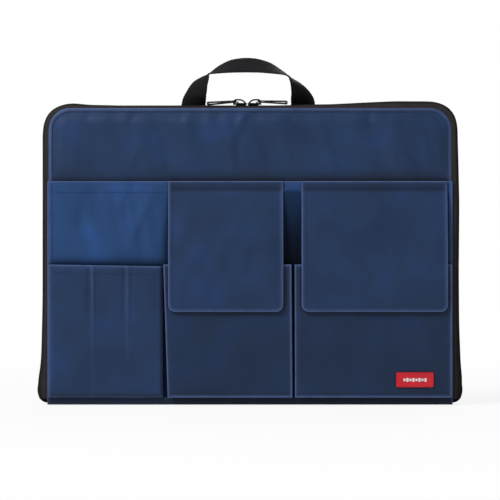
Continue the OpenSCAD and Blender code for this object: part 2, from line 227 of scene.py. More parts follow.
class Nodes:
    """A short way to build a material's node tree."""

    def __init__(self, name):
        self.material = bpy.data.materials.new(name)
        self.material.use_nodes = True
        self.tree = self.material.node_tree
        self.shader = self.tree.nodes["Principled BSDF"]

    def add(self, kind, **settings):
        return add_node(self.tree, kind, **settings)

    def fed(self, value, socket):
        """Sets a socket to a constant, or links another node's output to it."""
        if isinstance(value, (int, float, tuple)):
            socket.default_value = value
        else:
            self.link(value, socket)

    def shade_of(self, name):
        """An attribute of the mesh."""
        return self.add("Attribute", attribute_name=name).outputs["Fac"]

    def link(self, source, target):
        self.tree.links.new(source, target)

    def place(self, attribute=None):
        """Where on the piece: its place in the frame, or an attribute laid along it, in metres."""
        if attribute:
            return self.add("Attribute", attribute_name=attribute).outputs["Vector"]
        return self.add("TexCoord").outputs["Object"]

    def noise(self, place, size_mm, detail=2.0):
        node = self.add("TexNoise", Scale=1 / (size_mm * MM), Detail=detail)
        self.link(place, node.inputs["Vector"])
        return node.outputs["Fac"]

    def wave(self, place, period_mm, direction, distortion=0.0):
        """Bands across a direction, with this period."""
        periods_per_unit = 20 / (2 * math.pi)
        scale = 1 / (period_mm * MM) / periods_per_unit
        node = self.add("TexWave", Scale=scale, Distortion=distortion)
        node.wave_type = "BANDS"
        node.bands_direction = direction
        self.link(place, node.inputs["Vector"])
        return node.outputs["Fac"]

    def combine(self, first, second, operation="ADD"):
        node = self.add("Math", operation=operation)
        self.fed(first, node.inputs[0])
        self.fed(second, node.inputs[1])
        return node.outputs[0]

    def mean(self, first, second, share, other=None):
        """A weighted sum: the first one's share, and the second one's, which is the same unless told."""
        second = self.combine(second, share if other is None else other, "MULTIPLY")
        return self.combine(self.combine(first, share, "MULTIPLY"), second)

    def ramp(self, factor, stops):
        node = self.add("ValToRGB")
        elements = node.color_ramp.elements
        while len(elements) < len(stops):
            elements.new(0.5)
        for element, (position, colour) in zip(elements, stops):
            element.position = position
            element.color = colour
        self.link(factor, node.inputs["Fac"])
        return node.outputs["Color"]

    def blend_colours(self, factor, first, second, kind="MIX"):
        node = self.add("Mix", data_type="RGBA", blend_type=kind)
        self.fed(factor, node.inputs["Factor"])
        self.fed(first, node.inputs[6])
        self.fed(second, node.inputs[7])
        return node.outputs[2]

    def painted_crevice_shade(self, colour):
        """Darkens a colour inside folds and gaps, where other surfaces are near: painted shade."""
        near = self.add("AmbientOcclusion", Distance=14 * MM, samples=6)
        dark = self.ramp(near.outputs["AO"], [(0.45, (0.05, 0.05, 0.05, 1)), (0.97, (1, 1, 1, 1))])
        return self.blend_colours(1.0, colour, dark, "MULTIPLY")

    def finish(self, colour, bump, roughness, depth_mm=0.05, strength=0.5, **sockets):
        self.link(colour, self.shader.inputs["Base Color"])
        height = self.add("Bump", Strength=strength, Distance=depth_mm * MM)
        self.link(bump, height.inputs["Height"])
        self.link(height.outputs["Normal"], self.shader.inputs["Normal"])
        if isinstance(roughness, tuple):
            spread = self.add("MapRange", To_Min=roughness[1], To_Max=roughness[2])
            self.link(roughness[0], spread.inputs["Value"])
            self.link(spread.outputs[0], self.shader.inputs["Roughness"])
        else:
            self.shader.inputs["Roughness"].default_value = roughness
        for key, value in sockets.items():
            self.shader.inputs[key.replace("_", " ")].default_value = value
        return self.material


def tinted(colour, factor):
    return tuple(c * factor for c in colour[:3]) + (1,)


def nylon(name, colour, sheen=0.1, gloss=0.25):
    """Fine woven nylon: a twill weave, soft patches of painted shade and bluer painted sheen, painted shade
    in folds, gaps and marked places, and a lighter edge that is partly wear and partly painted highlight.
    """
    n = Nodes(name)
    place = n.place()
    patches = n.noise(place, 30, 2.5)
    # the random patches run from darker (painted shade) to bluer (painted sheen)
    painted_sheen = (colour[0] * 1.1, colour[1] * 1.22, colour[2] * 1.45, 1)
    shade = n.ramp(patches, [(0.34, tinted(colour, 0.8)), (0.52, colour), (0.7, painted_sheen)])
    threads = n.combine(n.wave(place, 0.62, "X", 0.4), n.wave(place, 0.55, "Z", 0.4))
    fibres = n.noise(place, 0.45, 3)
    woven = n.mean(threads, fibres, 0.5)
    fine = n.ramp(woven, [(0.25, tinted(colour, 0.8)), (0.95, tinted(colour, 1.25))])
    # painted shade: the cloth is darkened where other surfaces are near, in folds and gaps
    cloth = n.painted_crevice_shade(n.blend_colours(0.35, shade, fine))
    # darkened almost to black where the mesh asks: painted shade between the flaps, above hems, beside seams
    # and on the flap band
    cloth = n.blend_colours(n.shade_of("painted_shade"), cloth, tinted(colour, 0.05))
    # lighter where worn: rubbed edges, and painted highlight along lit edges and seams
    rub_and_highlight = n.combine(n.shade_of("wear_and_highlight"), n.combine(n.noise(place, 9), 0.45), "MULTIPLY")
    colour_out = n.blend_colours(rub_and_highlight, cloth, WORN_AND_HIGHLIGHT)
    return n.finish(
        colour_out, woven, (patches, 0.46, 0.62), 0.06, 0.35,
        Specular_IOR_Level=gloss, Sheen_Weight=sheen, Sheen_Roughness=0.4,
        Sheen_Tint=(0.4, 0.6, 1, 1),
    )


def plain_weave(name, colour, attribute=None, period=0.8, strength=0.5, shade_from=None):
    """A plain weave, such as lining, zipper tape or the cloth of the end tabs."""
    n = Nodes(name)
    place = n.place(attribute)
    threads = n.combine(
        n.wave(place, period, "X", 0.3), n.wave(place, period, "Y" if attribute else "Z", 0.3), "MULTIPLY"
    )
    patches = n.noise(place, 9, 3)
    mixed = n.mean(threads, patches, 0.6, 0.5)
    shade = n.ramp(mixed, [(0.15, tinted(colour, 0.62)), (0.8, tinted(colour, 1.3))])
    # beyond a given distance across, where the tape turns in towards the coil, it is darkened: painted shade
    if shade_from:
        across = n.add("SeparateXYZ")
        n.link(place, across.inputs[0])
        shaded_zone = n.add("MapRange", From_Min=shade_from * MM, From_Max=(shade_from + 1) * MM)
        n.link(across.outputs["Y"], shaded_zone.inputs["Value"])
        shade = n.blend_colours(shaded_zone.outputs[0], shade, n.blend_colours(0.7, shade, tinted(colour, 0.12)))
    return n.finish(
        shade, threads, (patches, 0.7, 0.9), 0.12, strength,
        Specular_IOR_Level=0.08, Sheen_Weight=0.02, Sheen_Roughness=0.5,
    )


def webbing(name, colour):
    """Ribbed webbing: ribs along its length, crossed by a fine herringbone, with pale fluff."""
    n = Nodes(name)
    place = n.place("lay")
    ribs = n.wave(place, 2.2, "Y")
    picks = n.wave(place, 1.1, "DIAGONAL", 0.6)
    fluff = n.noise(place, 0.6, 4)
    rough = n.mean(ribs, picks, 0.5, 0.4)
    rough = n.combine(rough, n.combine(fluff, 0.35, "MULTIPLY"))
    tones = [(0.2, tinted(colour, 0.45)), (0.75, tinted(colour, 1.25)), (1, tinted(colour, 3.4))]
    shade = n.ramp(rough, tones)
    # lighter fluff where the mesh asks: worn edges, and painted highlight over the top of the handle
    worn_and_lit = n.combine(n.shade_of("wear_and_highlight"), fluff, "MULTIPLY")
    shade = n.blend_colours(worn_and_lit, shade, tinted(colour, 2.0))
    return n.finish(
        shade, rough, (fluff, 0.62, 0.85), 0.3, 0.8,
        Specular_IOR_Level=0.1, Sheen_Weight=0.04, Sheen_Roughness=0.5,
    )


def painted_metal(name, colour):
    """Satin black paint with orange peel, and bare metal showing where it is rubbed."""
    n = Nodes(name)
    place = n.place()
    peel = n.noise(place, 0.5, 2)
    scuffs = n.noise(place, 1.6, 5)
    shade = n.ramp(scuffs, [(0.5, colour), (0.72, tinted(colour, 1.8)), (0.86, linear(80, 78, 76))])
    return n.finish(
        shade, peel, (scuffs, 0.34, 0.55), 0.03, 0.3, Specular_IOR_Level=0.16,
    )


def bare_metal(name):
    n = Nodes(name)
    place = n.place()
    brushed = n.noise(place, 0.35, 4)
    shade = n.ramp(brushed, [(0.3, linear(150, 148, 146)), (0.8, linear(208, 206, 204))])
    return n.finish(shade, brushed, (brushed, 0.25, 0.45), 0.02, 0.3, Metallic=0.9)


def moulded(name, colour, roughness=0.45):
    """Soft moulded label: a fine grain and slightly uneven dye."""
    n = Nodes(name)
    place = n.place()
    grain = n.noise(place, 0.3, 3)
    dye = n.noise(place, 5, 2)
    shade = n.ramp(dye, [(0.3, tinted(colour, 0.92)), (0.7, tinted(colour, 1.08))])
    return n.finish(shade, grain, (grain, roughness - 0.08, roughness + 0.1), 0.04, 0.4)


def nylon_coil(name):
    """Smooth nylon filament with moulding marks."""
    n = Nodes(name)
    place = n.place()
    marks = n.noise(place, 0.8, 3)
    shade = n.ramp(marks, [(0.3, linear(12, 12, 13)), (0.8, linear(30, 30, 32))])
    return n.finish(shade, marks, (marks, 0.35, 0.55), 0.03, 0.3, Specular_IOR_Level=0.35)


def brushed_pile(name, colour, size):
    """Hook or loop tape: a dense field of small tufts."""
    n = Nodes(name)
    place = n.place()
    tufts = n.add("TexVoronoi", Scale=1 / (size * MM))
    n.link(place, tufts.inputs["Vector"])
    spread = n.noise(place, 3, 4)
    rough = n.combine(tufts.outputs["Distance"], n.combine(spread, 0.5, "MULTIPLY"))
    shade = n.ramp(rough, [(0.1, tinted(colour, 1.5)), (0.9, tinted(colour, 0.5))])
    return n.finish(shade, rough, 0.85, 0.5, 0.9, Sheen_Weight=0.4, Specular_IOR_Level=0.15)


def foam(name, colour):
    n = Nodes(name)
    place = n.place()
    cells = n.add("TexVoronoi", Scale=1 / (0.7 * MM))
    n.link(place, cells.inputs["Vector"])
    shade = n.ramp(cells.outputs["Distance"], [(0.1, tinted(colour, 0.6)), (0.7, tinted(colour, 1.15))])
    return n.finish(shade, cells.outputs["Distance"], 0.9, 0.2, 0.6, Specular_IOR_Level=0.1)


def thread(name, colour):
    """Twisted sewing thread."""
    n = Nodes(name)
    place = n.place()
    twist = n.wave(place, 0.35, "DIAGONAL", 1)
    shade = n.ramp(twist, [(0.2, tinted(colour, 0.6)), (0.8, tinted(colour, 1.25))])
    return n.finish(shade, twist, 0.6, 0.05, 0.5, Sheen_Weight=0.2, Specular_IOR_Level=0.25)


NAVY = linear(37, 58, 91)
MATERIALS = {
    "panel": nylon("navy_panel", NAVY),
    # a lighter copy of the navy for the slip pocket: painted light
    "slip": nylon("navy_slip_lit", tinted(NAVY, 1.8), 0.06, 0.07),
    "pen": nylon("navy_pen", tinted(NAVY, 0.96)),
    # darker copies of the navy for the pocket faces and gussets: painted shade
    "pocket": nylon("navy_pocket_shaded", tinted(NAVY, 0.72)),
    "gusset": nylon("navy_gusset_shaded", tinted(NAVY, 0.8)),
    "flap": nylon("navy_flap", tinted(NAVY, 0.95)),
    "binding": nylon("navy_binding", tinted(NAVY, 0.95)),
    "seam": thread("navy_thread", linear(24, 32, 66)),
    "lining": plain_weave("lining", linear(58, 60, 68)),
    "tape": plain_weave("zip_tape", linear(58, 55, 55), "lay", 0.9, 0.5, 3.3),
    "tab": plain_weave("end_tab", linear(17, 16, 17), None, 0.9),
    "coil": nylon_coil("zip_coil"),
    "metal": painted_metal("slider_paint", linear(9, 9, 10)),
    "bare": bare_metal("slider_rivet"),
    "web": webbing("handle_web", linear(27, 26, 28)),
    "hook": brushed_pile("hook_tape", linear(36, 46, 74), 0.7),
    "loop": brushed_pile("loop_tape", linear(40, 52, 84), 0.45),
    "label": moulded("label_red", linear(214, 26, 44)),
    "mark": moulded("label_white", linear(238, 236, 232), 0.5),
    "foam": foam("foam_sheet", linear(90, 92, 96)),
    "board": moulded("board_sheet", linear(214, 214, 208), 0.55),
}


# ---- mesh helpers ----


def link_mesh(name, mesh, material, join):
    """An object whose doubled points are joined."""
    bm = bmesh.new()
    bm.from_mesh(mesh)
    bmesh.ops.remove_doubles(bm, verts=bm.verts, dist=join * MM)
    bmesh.ops.recalc_face_normals(bm, faces=bm.faces)
    bm.to_mesh(mesh)
    bm.free()
    mesh.materials.append(MATERIALS[material])
    return put(name, mesh)


def mesh_piece(name, points, faces, material, attributes=None):
    """An object from points in millimetres, with smooth faces. attributes holds values for each point."""
    mesh = bpy.data.meshes.new(name)
    mesh.from_pydata((np.asarray(points, float) * MM).tolist(), [], faces)
    for key, values in (attributes or {}).items():
        kind = "FLOAT_VECTOR" if np.ndim(values) == 2 else "FLOAT"
        field = "vector" if np.ndim(values) == 2 else "value"
        data = mesh.attributes.new(key, kind, "POINT").data
        data.foreach_set(field, np.asarray(values, np.float32).ravel())
    piece = link_mesh(name, mesh, material, 0.004)
    mesh.polygons.foreach_set("use_smooth", [True] * len(mesh.polygons))
    return piece


def quads(rows, cols, start=0, flip=False):
    """Faces of a grid whose points are numbered row by row."""
    i, j = np.meshgrid(np.arange(rows - 1), np.arange(cols - 1), indexing="ij")
    a = start + i * cols + j
    faces = np.stack([a, a + 1, a + cols + 1, a + cols], -1).reshape(-1, 4)
    return (faces[:, ::-1] if flip else faces).tolist()


def round_faces(rings, sides, start=0):
    """Faces of a closed body made of rings of points, with its two ends."""
    i, k = np.meshgrid(np.arange(rings - 1), np.arange(sides), indexing="ij")
    a, b = start + i * sides + k, start + i * sides + (k + 1) % sides
    faces = np.stack([a, b, b + sides, a + sides], -1).reshape(-1, 4).tolist()
    first, last = list(range(start, start + sides)), start + (rings - 1) * sides
    return faces + [first[::-1], list(range(last, last + sides))]


def turns(count):
    """Angles of a ring of points."""
    return [2 * math.pi * k / count for k in range(count)]


def unit(vectors):
    """The same directions, each of length 1."""
    return vectors / np.linalg.norm(vectors, axis=1, keepdims=True)


def run_along(points):
    """How far along a line each of its points is."""
    return np.concatenate([[0], np.cumsum(np.linalg.norm(np.diff(points, axis=0), axis=1))])


def rim(rows, cols):
    """Faces that join two grids of the same size round their border."""
    edge = [(0, j) for j in range(cols)] + [(i, cols - 1) for i in range(1, rows)]
    edge += [(rows - 1, j) for j in range(cols - 2, -1, -1)]
    edge += [(i, 0) for i in range(rows - 2, 0, -1)]
    ids = [i * cols + j for i, j in edge]
    other = rows * cols
    return [[a, a + other, b + other, b] for a, b in zip(ids, ids[1:] + ids[:1])]


def normals_of(surface):
    along, up = np.gradient(surface, axis=1), np.gradient(surface, axis=0)
    n = np.cross(along, up)
    return n / np.maximum(np.linalg.norm(n, axis=-1, keepdims=True), 1e-9)


def sheet_piece(name, surface, thickness, material, wear_and_highlight=None, lay=None, painted_shade=None):
    """A closed sheet about a middle surface, a grid of points. Its thickness may vary over it."""
    rows, cols = surface.shape[:2]
    half = np.broadcast_to(np.asarray(thickness, float) / 2, (rows, cols))[..., None]
    n = normals_of(surface)
    points = np.concatenate([(surface + n * half).reshape(-1, 3), (surface - n * half).reshape(-1, 3)])
    faces = quads(rows, cols) + quads(rows, cols, rows * cols, True) + rim(rows, cols)
    wear_and_highlight = np.zeros((rows, cols)) if wear_and_highlight is None else wear_and_highlight
    attributes = {"wear_and_highlight": np.tile(wear_and_highlight.ravel(), 2)}
    # this attribute marks where the cloth is darkened as painted shade
    if painted_shade is not None:
        attributes["painted_shade"] = np.tile(painted_shade.ravel(), 2)
    if lay is not None:
        attributes["lay"] = np.tile(lay.reshape(-1, 3) * MM, (2, 1))
    return mesh_piece(name, points, faces, material, attributes)


EDGE_STEPS = np.array([0, 0.06, 0.22, 0.5, 0.9, 1.4, 2.0, 2.7, 3.4, 4.2])


def spaced(low, high, step):
    """Stations from low to high, close together near both ends and a step apart between."""
    reach = min(EDGE_STEPS[-1], (high - low) / 2.2)
    near = EDGE_STEPS * reach / EDGE_STEPS[-1]
    count = max(2, round((high - low - 2 * reach) / step) + 1)
    inner = np.linspace(low + reach, high - reach, count)
    return np.concatenate([low + near[:-1], inner, (high - near[:-1])[::-1]])


class Outline:
    """A front-view outline: sides that may lean in towards the bottom, and round corners."""

    def __init__(self, x, z, top_r=0.0, low_r=0.0, lean=(0.0, 0.0), slope=0.0):
        self.x, self.z = x, z
        self.top_r, self.low_r = top_r, low_r
        self.lean, self.slope = lean, slope

    def size(self):
        return self.x[1] - self.x[0], self.z[1] - self.z[0]

    def sides(self, z):
        drop = (self.z[1] - z) / (self.z[1] - self.z[0])
        return self.x[0] + self.lean[0] * drop, self.x[1] + self.lean[1] * drop

    def corner_inset(self, z):
        inset = np.zeros_like(z)
        for radius, depth in ((self.top_r, self.z[1] - z), (self.low_r, z - self.z[0])):
            into = np.clip(radius - depth, 0, radius)
            inset = np.maximum(inset, radius - np.sqrt(np.maximum(radius**2 - into**2, 0)))
        return inset

    def grid(self, step):
        """X and Z of a grid over the outline, and each point's distance from its rim."""
        columns = spaced(self.x[0], self.x[1], step)
        rows = spaced(self.z[0], self.z[1], step)
        z = np.repeat(rows[:, None], len(columns), 1)
        low, high = self.sides(z)
        inset = self.corner_inset(z)
        t = np.clip((columns - self.x[0] - 5) / (self.x[1] - self.x[0] - 10), 0, 1)[None, :]
        x = columns[None, :] + (low - self.x[0] + inset) * (1 - t) + (high - self.x[1] - inset) * t
        d = self.distance(x, z)
        share = np.clip((z - self.z[0]) / (self.z[1] - self.z[0]), 0, 1)
        z = z - self.slope * share * (x - self.x[0]) / (self.x[1] - self.x[0])
        return x, z, d

    def distance(self, x, z):
        low, high = self.sides(z)
        side = np.minimum(x - low, high - x)
        d = np.minimum(side, np.minimum(z - self.z[0], self.z[1] - z))
        for radius, depth in ((self.top_r, self.z[1] - z), (self.low_r, z - self.z[0])):
            corner = (side < radius) & (depth < radius)
            away = radius - np.hypot(radius - side, radius - depth)
            d = np.where(corner, np.minimum(d, away), d)
        return np.maximum(d, 0)


def smooth(t):
    t = np.clip(t, 0, 1)
    return t * t * (3 - 2 * t)


def bump(t, centre, width):
    return np.exp(-(((t - centre) / width) ** 2))


def quarter_round(t):
    """Rises from 0 at 0 to 1 at 1 and beyond, along a quarter of a circle."""
    return np.sqrt(1 - (1 - np.clip(t, 0, 1)) ** 2)


def rolled(thick, d):
    """Thickness of a cloth edge that is rolled round: full away from the rim and none at it."""
    return thick * quarter_round(d / (thick / 2))


def ripples(x, z, seed, size, count=9, upright=1.0):
    """Soft random waves of about unit height. Above 1, upright makes them run up and down."""
    random = np.random.default_rng(seed)
    total = np.zeros_like(x)
    for _ in range(count):
        angle = random.uniform(0, math.pi)
        k = 2 * math.pi / (size * random.uniform(0.6, 1.7))
        phase = random.uniform(0, 2 * math.pi)
        across, along = x * math.cos(angle) * upright, z * math.sin(angle) / upright
        total = total + np.sin(k * (across + along) + phase)
    return total / math.sqrt(count)


def creases(x, z, seed, count, across, up, height):
    """A few short slanted creases scattered over an area, each a soft ridge beside a dip."""
    random = np.random.default_rng(seed)
    total = np.zeros_like(x)
    for _ in range(count):
        cx, cz = random.uniform(*across), random.uniform(*up)
        lean = random.uniform(-0.6, 0.6)
        length, width = random.uniform(10, 24), random.uniform(2.2, 4)
        along = (z - cz) * math.cos(lean) + (x - cx) * math.sin(lean)
        side = (x - cx) * math.cos(lean) - (z - cz) * math.sin(lean)
        ridge = bump(side, 0, width) - 0.7 * bump(side, width * 1.5, width)
        total = total + height * random.uniform(0.5, 1) * ridge * bump(along, 0, length)
    return total


ENLARGED = 10
CLOTH_FRAMES = 26


def simulated_puff(x, z, pins, seed, slack, pressure, step):
    """Offsets of a cloth held along its seams and blown out from behind, by cloth simulation.

    x and z are its (low, high), and pins(x, z) says which points a seam holds. slack is how much wider
    the cloth is than its seams, and step the grid's. The result is a function of x and z. The cloth is
    simulated larger than life, where it is stable.
    """
    columns = np.linspace(*x, max(6, round((x[1] - x[0]) / step)))
    rows = np.linspace(*z, max(6, round((z[1] - z[0]) / step)))
    gx, gz = np.meshgrid(columns, rows)
    gy = -0.15 * ripples(gx, gz, seed, 26)
    mesh = bpy.data.meshes.new("puff")
    points = np.stack([gx, gy, gz], -1).reshape(-1, 3)
    mesh.from_pydata((points * ENLARGED * MM).tolist(), [], quads(len(rows), len(columns)))
    cloth = put("puff", mesh)
    held = np.flatnonzero(pins(gx, gz).ravel())
    cloth.vertex_groups.new(name="seams").add(held.tolist(), 1.0, "REPLACE")
    modifier = cloth.modifiers.new("puff", "CLOTH")
    settings = modifier.settings
    settings.effector_weights.gravity = 0
    values = {
        "vertex_group_mass": "seams", "use_pressure": True, "uniform_pressure_force": pressure,
        "shrink_min": -slack, "mass": 0.3, "tension_stiffness": 15, "compression_stiffness": 15,
        "shear_stiffness": 5, "bending_stiffness": 0.6, "tension_damping": 25,
        "compression_damping": 25,
    }
    for key, value in values.items():
        setattr(settings, key, value)
    modifier.point_cache.frame_start = 1
    modifier.point_cache.frame_end = CLOTH_FRAMES
    for step_frame in range(1, CLOTH_FRAMES + 1):
        bpy.context.scene.frame_set(step_frame)
    settled = cloth.evaluated_get(bpy.context.evaluated_depsgraph_get()).to_mesh()
    moved = np.zeros(len(points) * 3, np.float32)
    settled.vertices.foreach_get("co", moved)
    offset = -moved.reshape(-1, 3)[:, 1].reshape(gx.shape) / (ENLARGED * MM)
    bpy.data.objects.remove(cloth)
    bpy.context.scene.frame_set(1)

    def sample(px, pz):
        u = np.clip((px - x[0]) / (x[1] - x[0]), 0, 1) * (len(columns) - 1)
        v = np.clip((pz - z[0]) / (z[1] - z[0]), 0, 1) * (len(rows) - 1)
        i = np.minimum(v.astype(int), len(rows) - 2)
        j = np.minimum(u.astype(int), len(columns) - 2)
        fu, fv = smooth(u - j), smooth(v - i)
        low = offset[i, j] * (1 - fu) + offset[i, j + 1] * fu
        high = offset[i + 1, j] * (1 - fu) + offset[i + 1, j + 1] * fu
        return low * (1 - fv) + high * fv

    return sample


def panel_piece(name, outline, y, thick, material, relief, step, wear_and_highlight=0.35, marks=None):
    """A cloth panel facing -Y over an outline. relief(x, z, d) lifts it towards -Y.

    marks(x, z, d) gives extra rubbed places, lit with painted highlight, and places of painted shade, as two
    grids.
    """
    x, z, d = outline.grid(step)
    surface = np.stack([x, y - relief(x, z, d), z], -1)
    rub_and_highlight, painted_shade = marks(x, z, d) if marks else (0, np.zeros_like(x))
    # edges lighter near the rim: wear and painted highlight
    rub_and_highlight = np.clip(wear_and_highlight * np.exp(-d / 0.9) + rub_and_highlight, 0, 1.5)
    return sheet_piece(name, surface, rolled(thick, d), material, rub_and_highlight, None, painted_shade)


STITCH_PITCH = 2.6


def stitch_points(path, pitch):
    """Middle and direction of each stitch along a polyline of (x, z) points."""
    found = []
    for (ax, az), (bx, bz) in zip(path, path[1:]):
        length = math.hypot(bx - ax, bz - az)
        count = max(1, round(length / pitch))
        for k in range(count):
            t = (k + 0.5) / count
            place = (ax + (bx - ax) * t, az + (bz - az) * t)
            found.append(place + ((bx - ax) / length, (bz - az) / length))
    return found


def stitches(name, body, rows, facing=-1, length=1.8, radius=0.2):
    """Sewing stitches as small sunk beads. rows are (piece that they lie on, path) pairs."""
    points, faces = [], []
    rings, sides = 4, 6
    for on, path in rows:
        tree = BVHTree.FromObject(on, bpy.context.evaluated_depsgraph_get())
        for x, z, dx, dz in stitch_points(path, STITCH_PITCH):
            start = Vector((x * MM, facing * 0.05, z * MM))
            hit = tree.ray_cast(start, Vector((0, -facing, 0)))[0]
            if hit is None:
                continue
            middle = np.array([x, hit.y / MM, z])
            along, across = np.array([dx, 0, dz]), np.array([-dz, 0, dx])
            out = np.array([0, facing, 0])
            base = len(points)
            for i in range(rings + 1):
                t = -1 + 2 * i / rings
                size = radius * math.sqrt(max(1 - t * t, 0.06))
                for a in turns(sides):
                    side = across * math.cos(a) * size + out * (math.sin(a) * size * 0.8)
                    points.append(middle + along * (t * length / 2) + side)
            faces += round_faces(rings + 1, sides, base)
    seam = mesh_piece(name, points, faces, "seam")
    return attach(seam, body)


def plate_piece(name, loops, thick, bevel, material, matrix):
    """A bevelled plate from closed loops of (x, y) points: the first its outline, the others holes."""
    curve = bpy.data.curves.new(name, "CURVE")
    curve.dimensions = "2D"
    curve.fill_mode = "BOTH"
    curve.extrude = (thick / 2 - bevel) * MM
    curve.bevel_depth = bevel * MM
    curve.bevel_resolution = 2
    curve.offset = -bevel * MM
    for loop in loops:
        spline = curve.splines.new("POLY")
        spline.points.add(len(loop) - 1)
        for point, (x, y) in zip(spline.points, loop):
            point.co = (x * MM, y * MM, 0, 1)
        spline.use_cyclic_u = True
    holder = put(name + "_curve", curve)
    shaped = holder.evaluated_get(bpy.context.evaluated_depsgraph_get())
    mesh = bpy.data.meshes.new_from_object(shaped)
    bpy.data.objects.remove(holder)
    mesh.name = name
    mesh.materials.clear()
    mesh.transform(matrix)
    return link_mesh(name, mesh, material, 0.002)


def round_box(x, y, radius, steps=6):
    """A closed loop of points round a rectangle with round corners."""
    corners = [(x[1] - radius, y[1] - radius, 0), (x[0] + radius, y[1] - radius, 1),
               (x[0] + radius, y[0] + radius, 2), (x[1] - radius, y[0] + radius, 3)]
    loop = []
    for cx, cy, quarter in corners:
        for k in range(steps + 1):
            a = (quarter + k / steps) * math.pi / 2
            loop.append((cx + radius * math.cos(a), cy + radius * math.sin(a)))
    return loop


def facing_front(y):
    """Turns a plate's (x, y) into (x, z), with its face towards -Y at that depth."""
    return Matrix.Translation((0, y * MM, 0)) @ Matrix.Rotation(math.pi / 2, 4, "X")


def flat_sheet(piece, width, height, rests_on, held="stretched"):
    """Returns the sheet unchanged. Its flat width and height in millimetres, the piece that it rests on and
    held are not used.
    """
    return piece


def narrow_sheet(piece, width, height, rests_on):
    """Returns a folded strip unchanged. A folded strip that may be narrower than the least length a
    sheet can have. Its width, height and the pieces that it rests on are not used.
    """
    return piece


def place_in(piece, body, slot, *nodes):
    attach(piece, body)
    if nodes:
        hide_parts(*nodes)
    return piece


# ---- padded shells ----


def seam_profile(d, at, depth, puff):
    """A rolled edge, a sewn groove, and a field that puffs up inside it."""
    edge = 0.35 * smooth(d / 1.6)
    return edge - depth * bump(d, at, 0.75) + puff * smooth((d - at) / 9)


def make_front_panel():
    outline = Outline((-PANEL_HALF, PANEL_HALF), FRONT.z, top_r=PANEL_R)
    pins = lambda x, z: (outline.distance(x, z) < 6) | (z < SLIP.z[1] - 4)
    puff = simulated_puff((-PANEL_HALF, PANEL_HALF), (SLIP.z[1] - 25, PANEL_TOP), pins, 11, 0.03, 3.0, 4.5)

    def relief(x, z, d):
        above = smooth((z - SLIP.z[1] - 1) / 12)
        depth = PANEL_TOP - z
        puckers = ripples(x, z * 0.1, 5, 17, 7, 1.3) * bump(depth, 9, 11) * smooth(d / 5)
        folds = 0.6 * ripples(x + 0.5 * z, z, 9, 44, 7, 1.5)
        folds = folds + creases(x, z, 8, 18, (-150, 150), (195, 236), 0.7)
        soft = (np.clip(puff(x, z), -0.2, 1.6) + folds) * smooth((d - 3) / 10)
        return above * (seam_profile(d, 3.4, 0.35, 0.35) + 0.25 * puckers + soft)

    def marks(x, z, d):
        # a lighter band along the edge, more so to the left where the light falls: painted highlight and
        # wear; and a painted shadow just above the slip pocket's hem
        piping = 0.45 * smooth((3.2 - d) / 0.8) * (0.6 + 0.4 * smooth(-x / 160))
        shadow_above_hem = 0.55 * np.exp(-np.abs(z - SLIP.z[1] - 1) / 3.5)
        return piping, shadow_above_hem

    piece = panel_piece("front_panel_cloth", outline, FRONT.mid("y"), 0.8, "panel", relief, 2.4, 0.6, marks)
    place_in(piece, "front_shell", "navy_cloth", "front_panel")
    return piece


def make_rear_panel():
    outline = Outline((-PANEL_HALF, PANEL_HALF), REAR.z, top_r=PANEL_R)
    pins = lambda x, z: outline.distance(x, z) < 6
    puff = simulated_puff((-PANEL_HALF, PANEL_HALF), (0, PANEL_TOP), pins, 23, 0.012, 1.5, 6)

    def relief(x, z, d):
        soft = np.clip(puff(x, z), -0.2, 0.6) * smooth((d - 3) / 12)
        return -0.6 * (seam_profile(d, 3.4, 0.4, 0.25) - 0.55 + soft)

    piece = panel_piece("rear_panel_cloth", outline, REAR.mid("y"), 0.8, "panel", relief, 2.8)
    place_in(piece, "back_shell", "navy_cloth", "rear_panel")
    return piece


def make_lining(name, body, node, side):
    """A lining that turns back to the zipper tape round its edge. side is +1 where it faces -Y."""
    span = Span(node)
    grow = 3.4
    outline = Outline((span.x[0] - grow, span.x[1] + grow), (1.6, span.z[1] + 1.6), top_r=20)

    def relief(x, z, d):
        turned = 1 - smooth(d / 5.2)
        waves = 0.12 * ripples(x, z, 31 + side, 45) * smooth(d / 20)
        return side * (0.15 - 1.9 * turned + waves)

    piece = panel_piece(name, outline, span.mid("y"), 0.5, "lining", relief, 4.5, 0)
    place_in(piece, body, "lining_cloth", node)
    return flat_sheet(piece, *outline.size(), name.split("_")[0] + "_foam")


def make_inner_pocket():
    span = Span("inner_pocket")
    outline = Outline(span.x, span.z, low_r=2)

    def relief(x, z, d):
        side = np.minimum(np.minimum(x - span.x[0], span.x[1] - x), z - span.z[0])
        stand = 0.75 * smooth(side / 5)
        sag = 0.2 * ripples(x, z, 44, 60) * smooth(d / 15)
        return stand + np.clip(sag, -0.15, 0.3)

    piece = panel_piece("inner_pocket_cloth", outline, span.y[1] - 0.35, 0.6, "lining", relief, 5, 0)
    place_in(piece, "back_shell", "lining_cloth", "inner_pocket")
    return flat_sheet(piece, *outline.size(), "rear_lining_cloth")


# ---- zipper ----


# how far the front of the tape stands out along the top and up the sides
TOP_WAVE = [(-160, 1.6), (-144, 2.6), (-130, 1.3), (-111, 1.0), (-100, 0.2), (-50, 0.2), (-16, 0.4),
            (14, 0.6), (50, 1.8), (66, 2.0), (85, 2.9), (105, 3.8), (118, 4.3), (150, 4.2), (160, 3.6)]
SIDE_WAVE = {-1: [(4, 3.8), (9, 5.3), (18, 6.0), (26, 4.7), (33, 3.6), (45, 3.0), (62, 2.6),
                  (90, 1.8), (220, 1.7)],
             1: [(4, 3.4), (9, 5.0), (18, 6.1), (26, 5.5), (33, 4.7), (45, 4.3), (62, 3.6), (110, 3.2),
                 (165, 3.5), (200, 2.8), (220, 2.2)]}
CORNER_WAVE = {-1: 1.6, 1: 2.0}


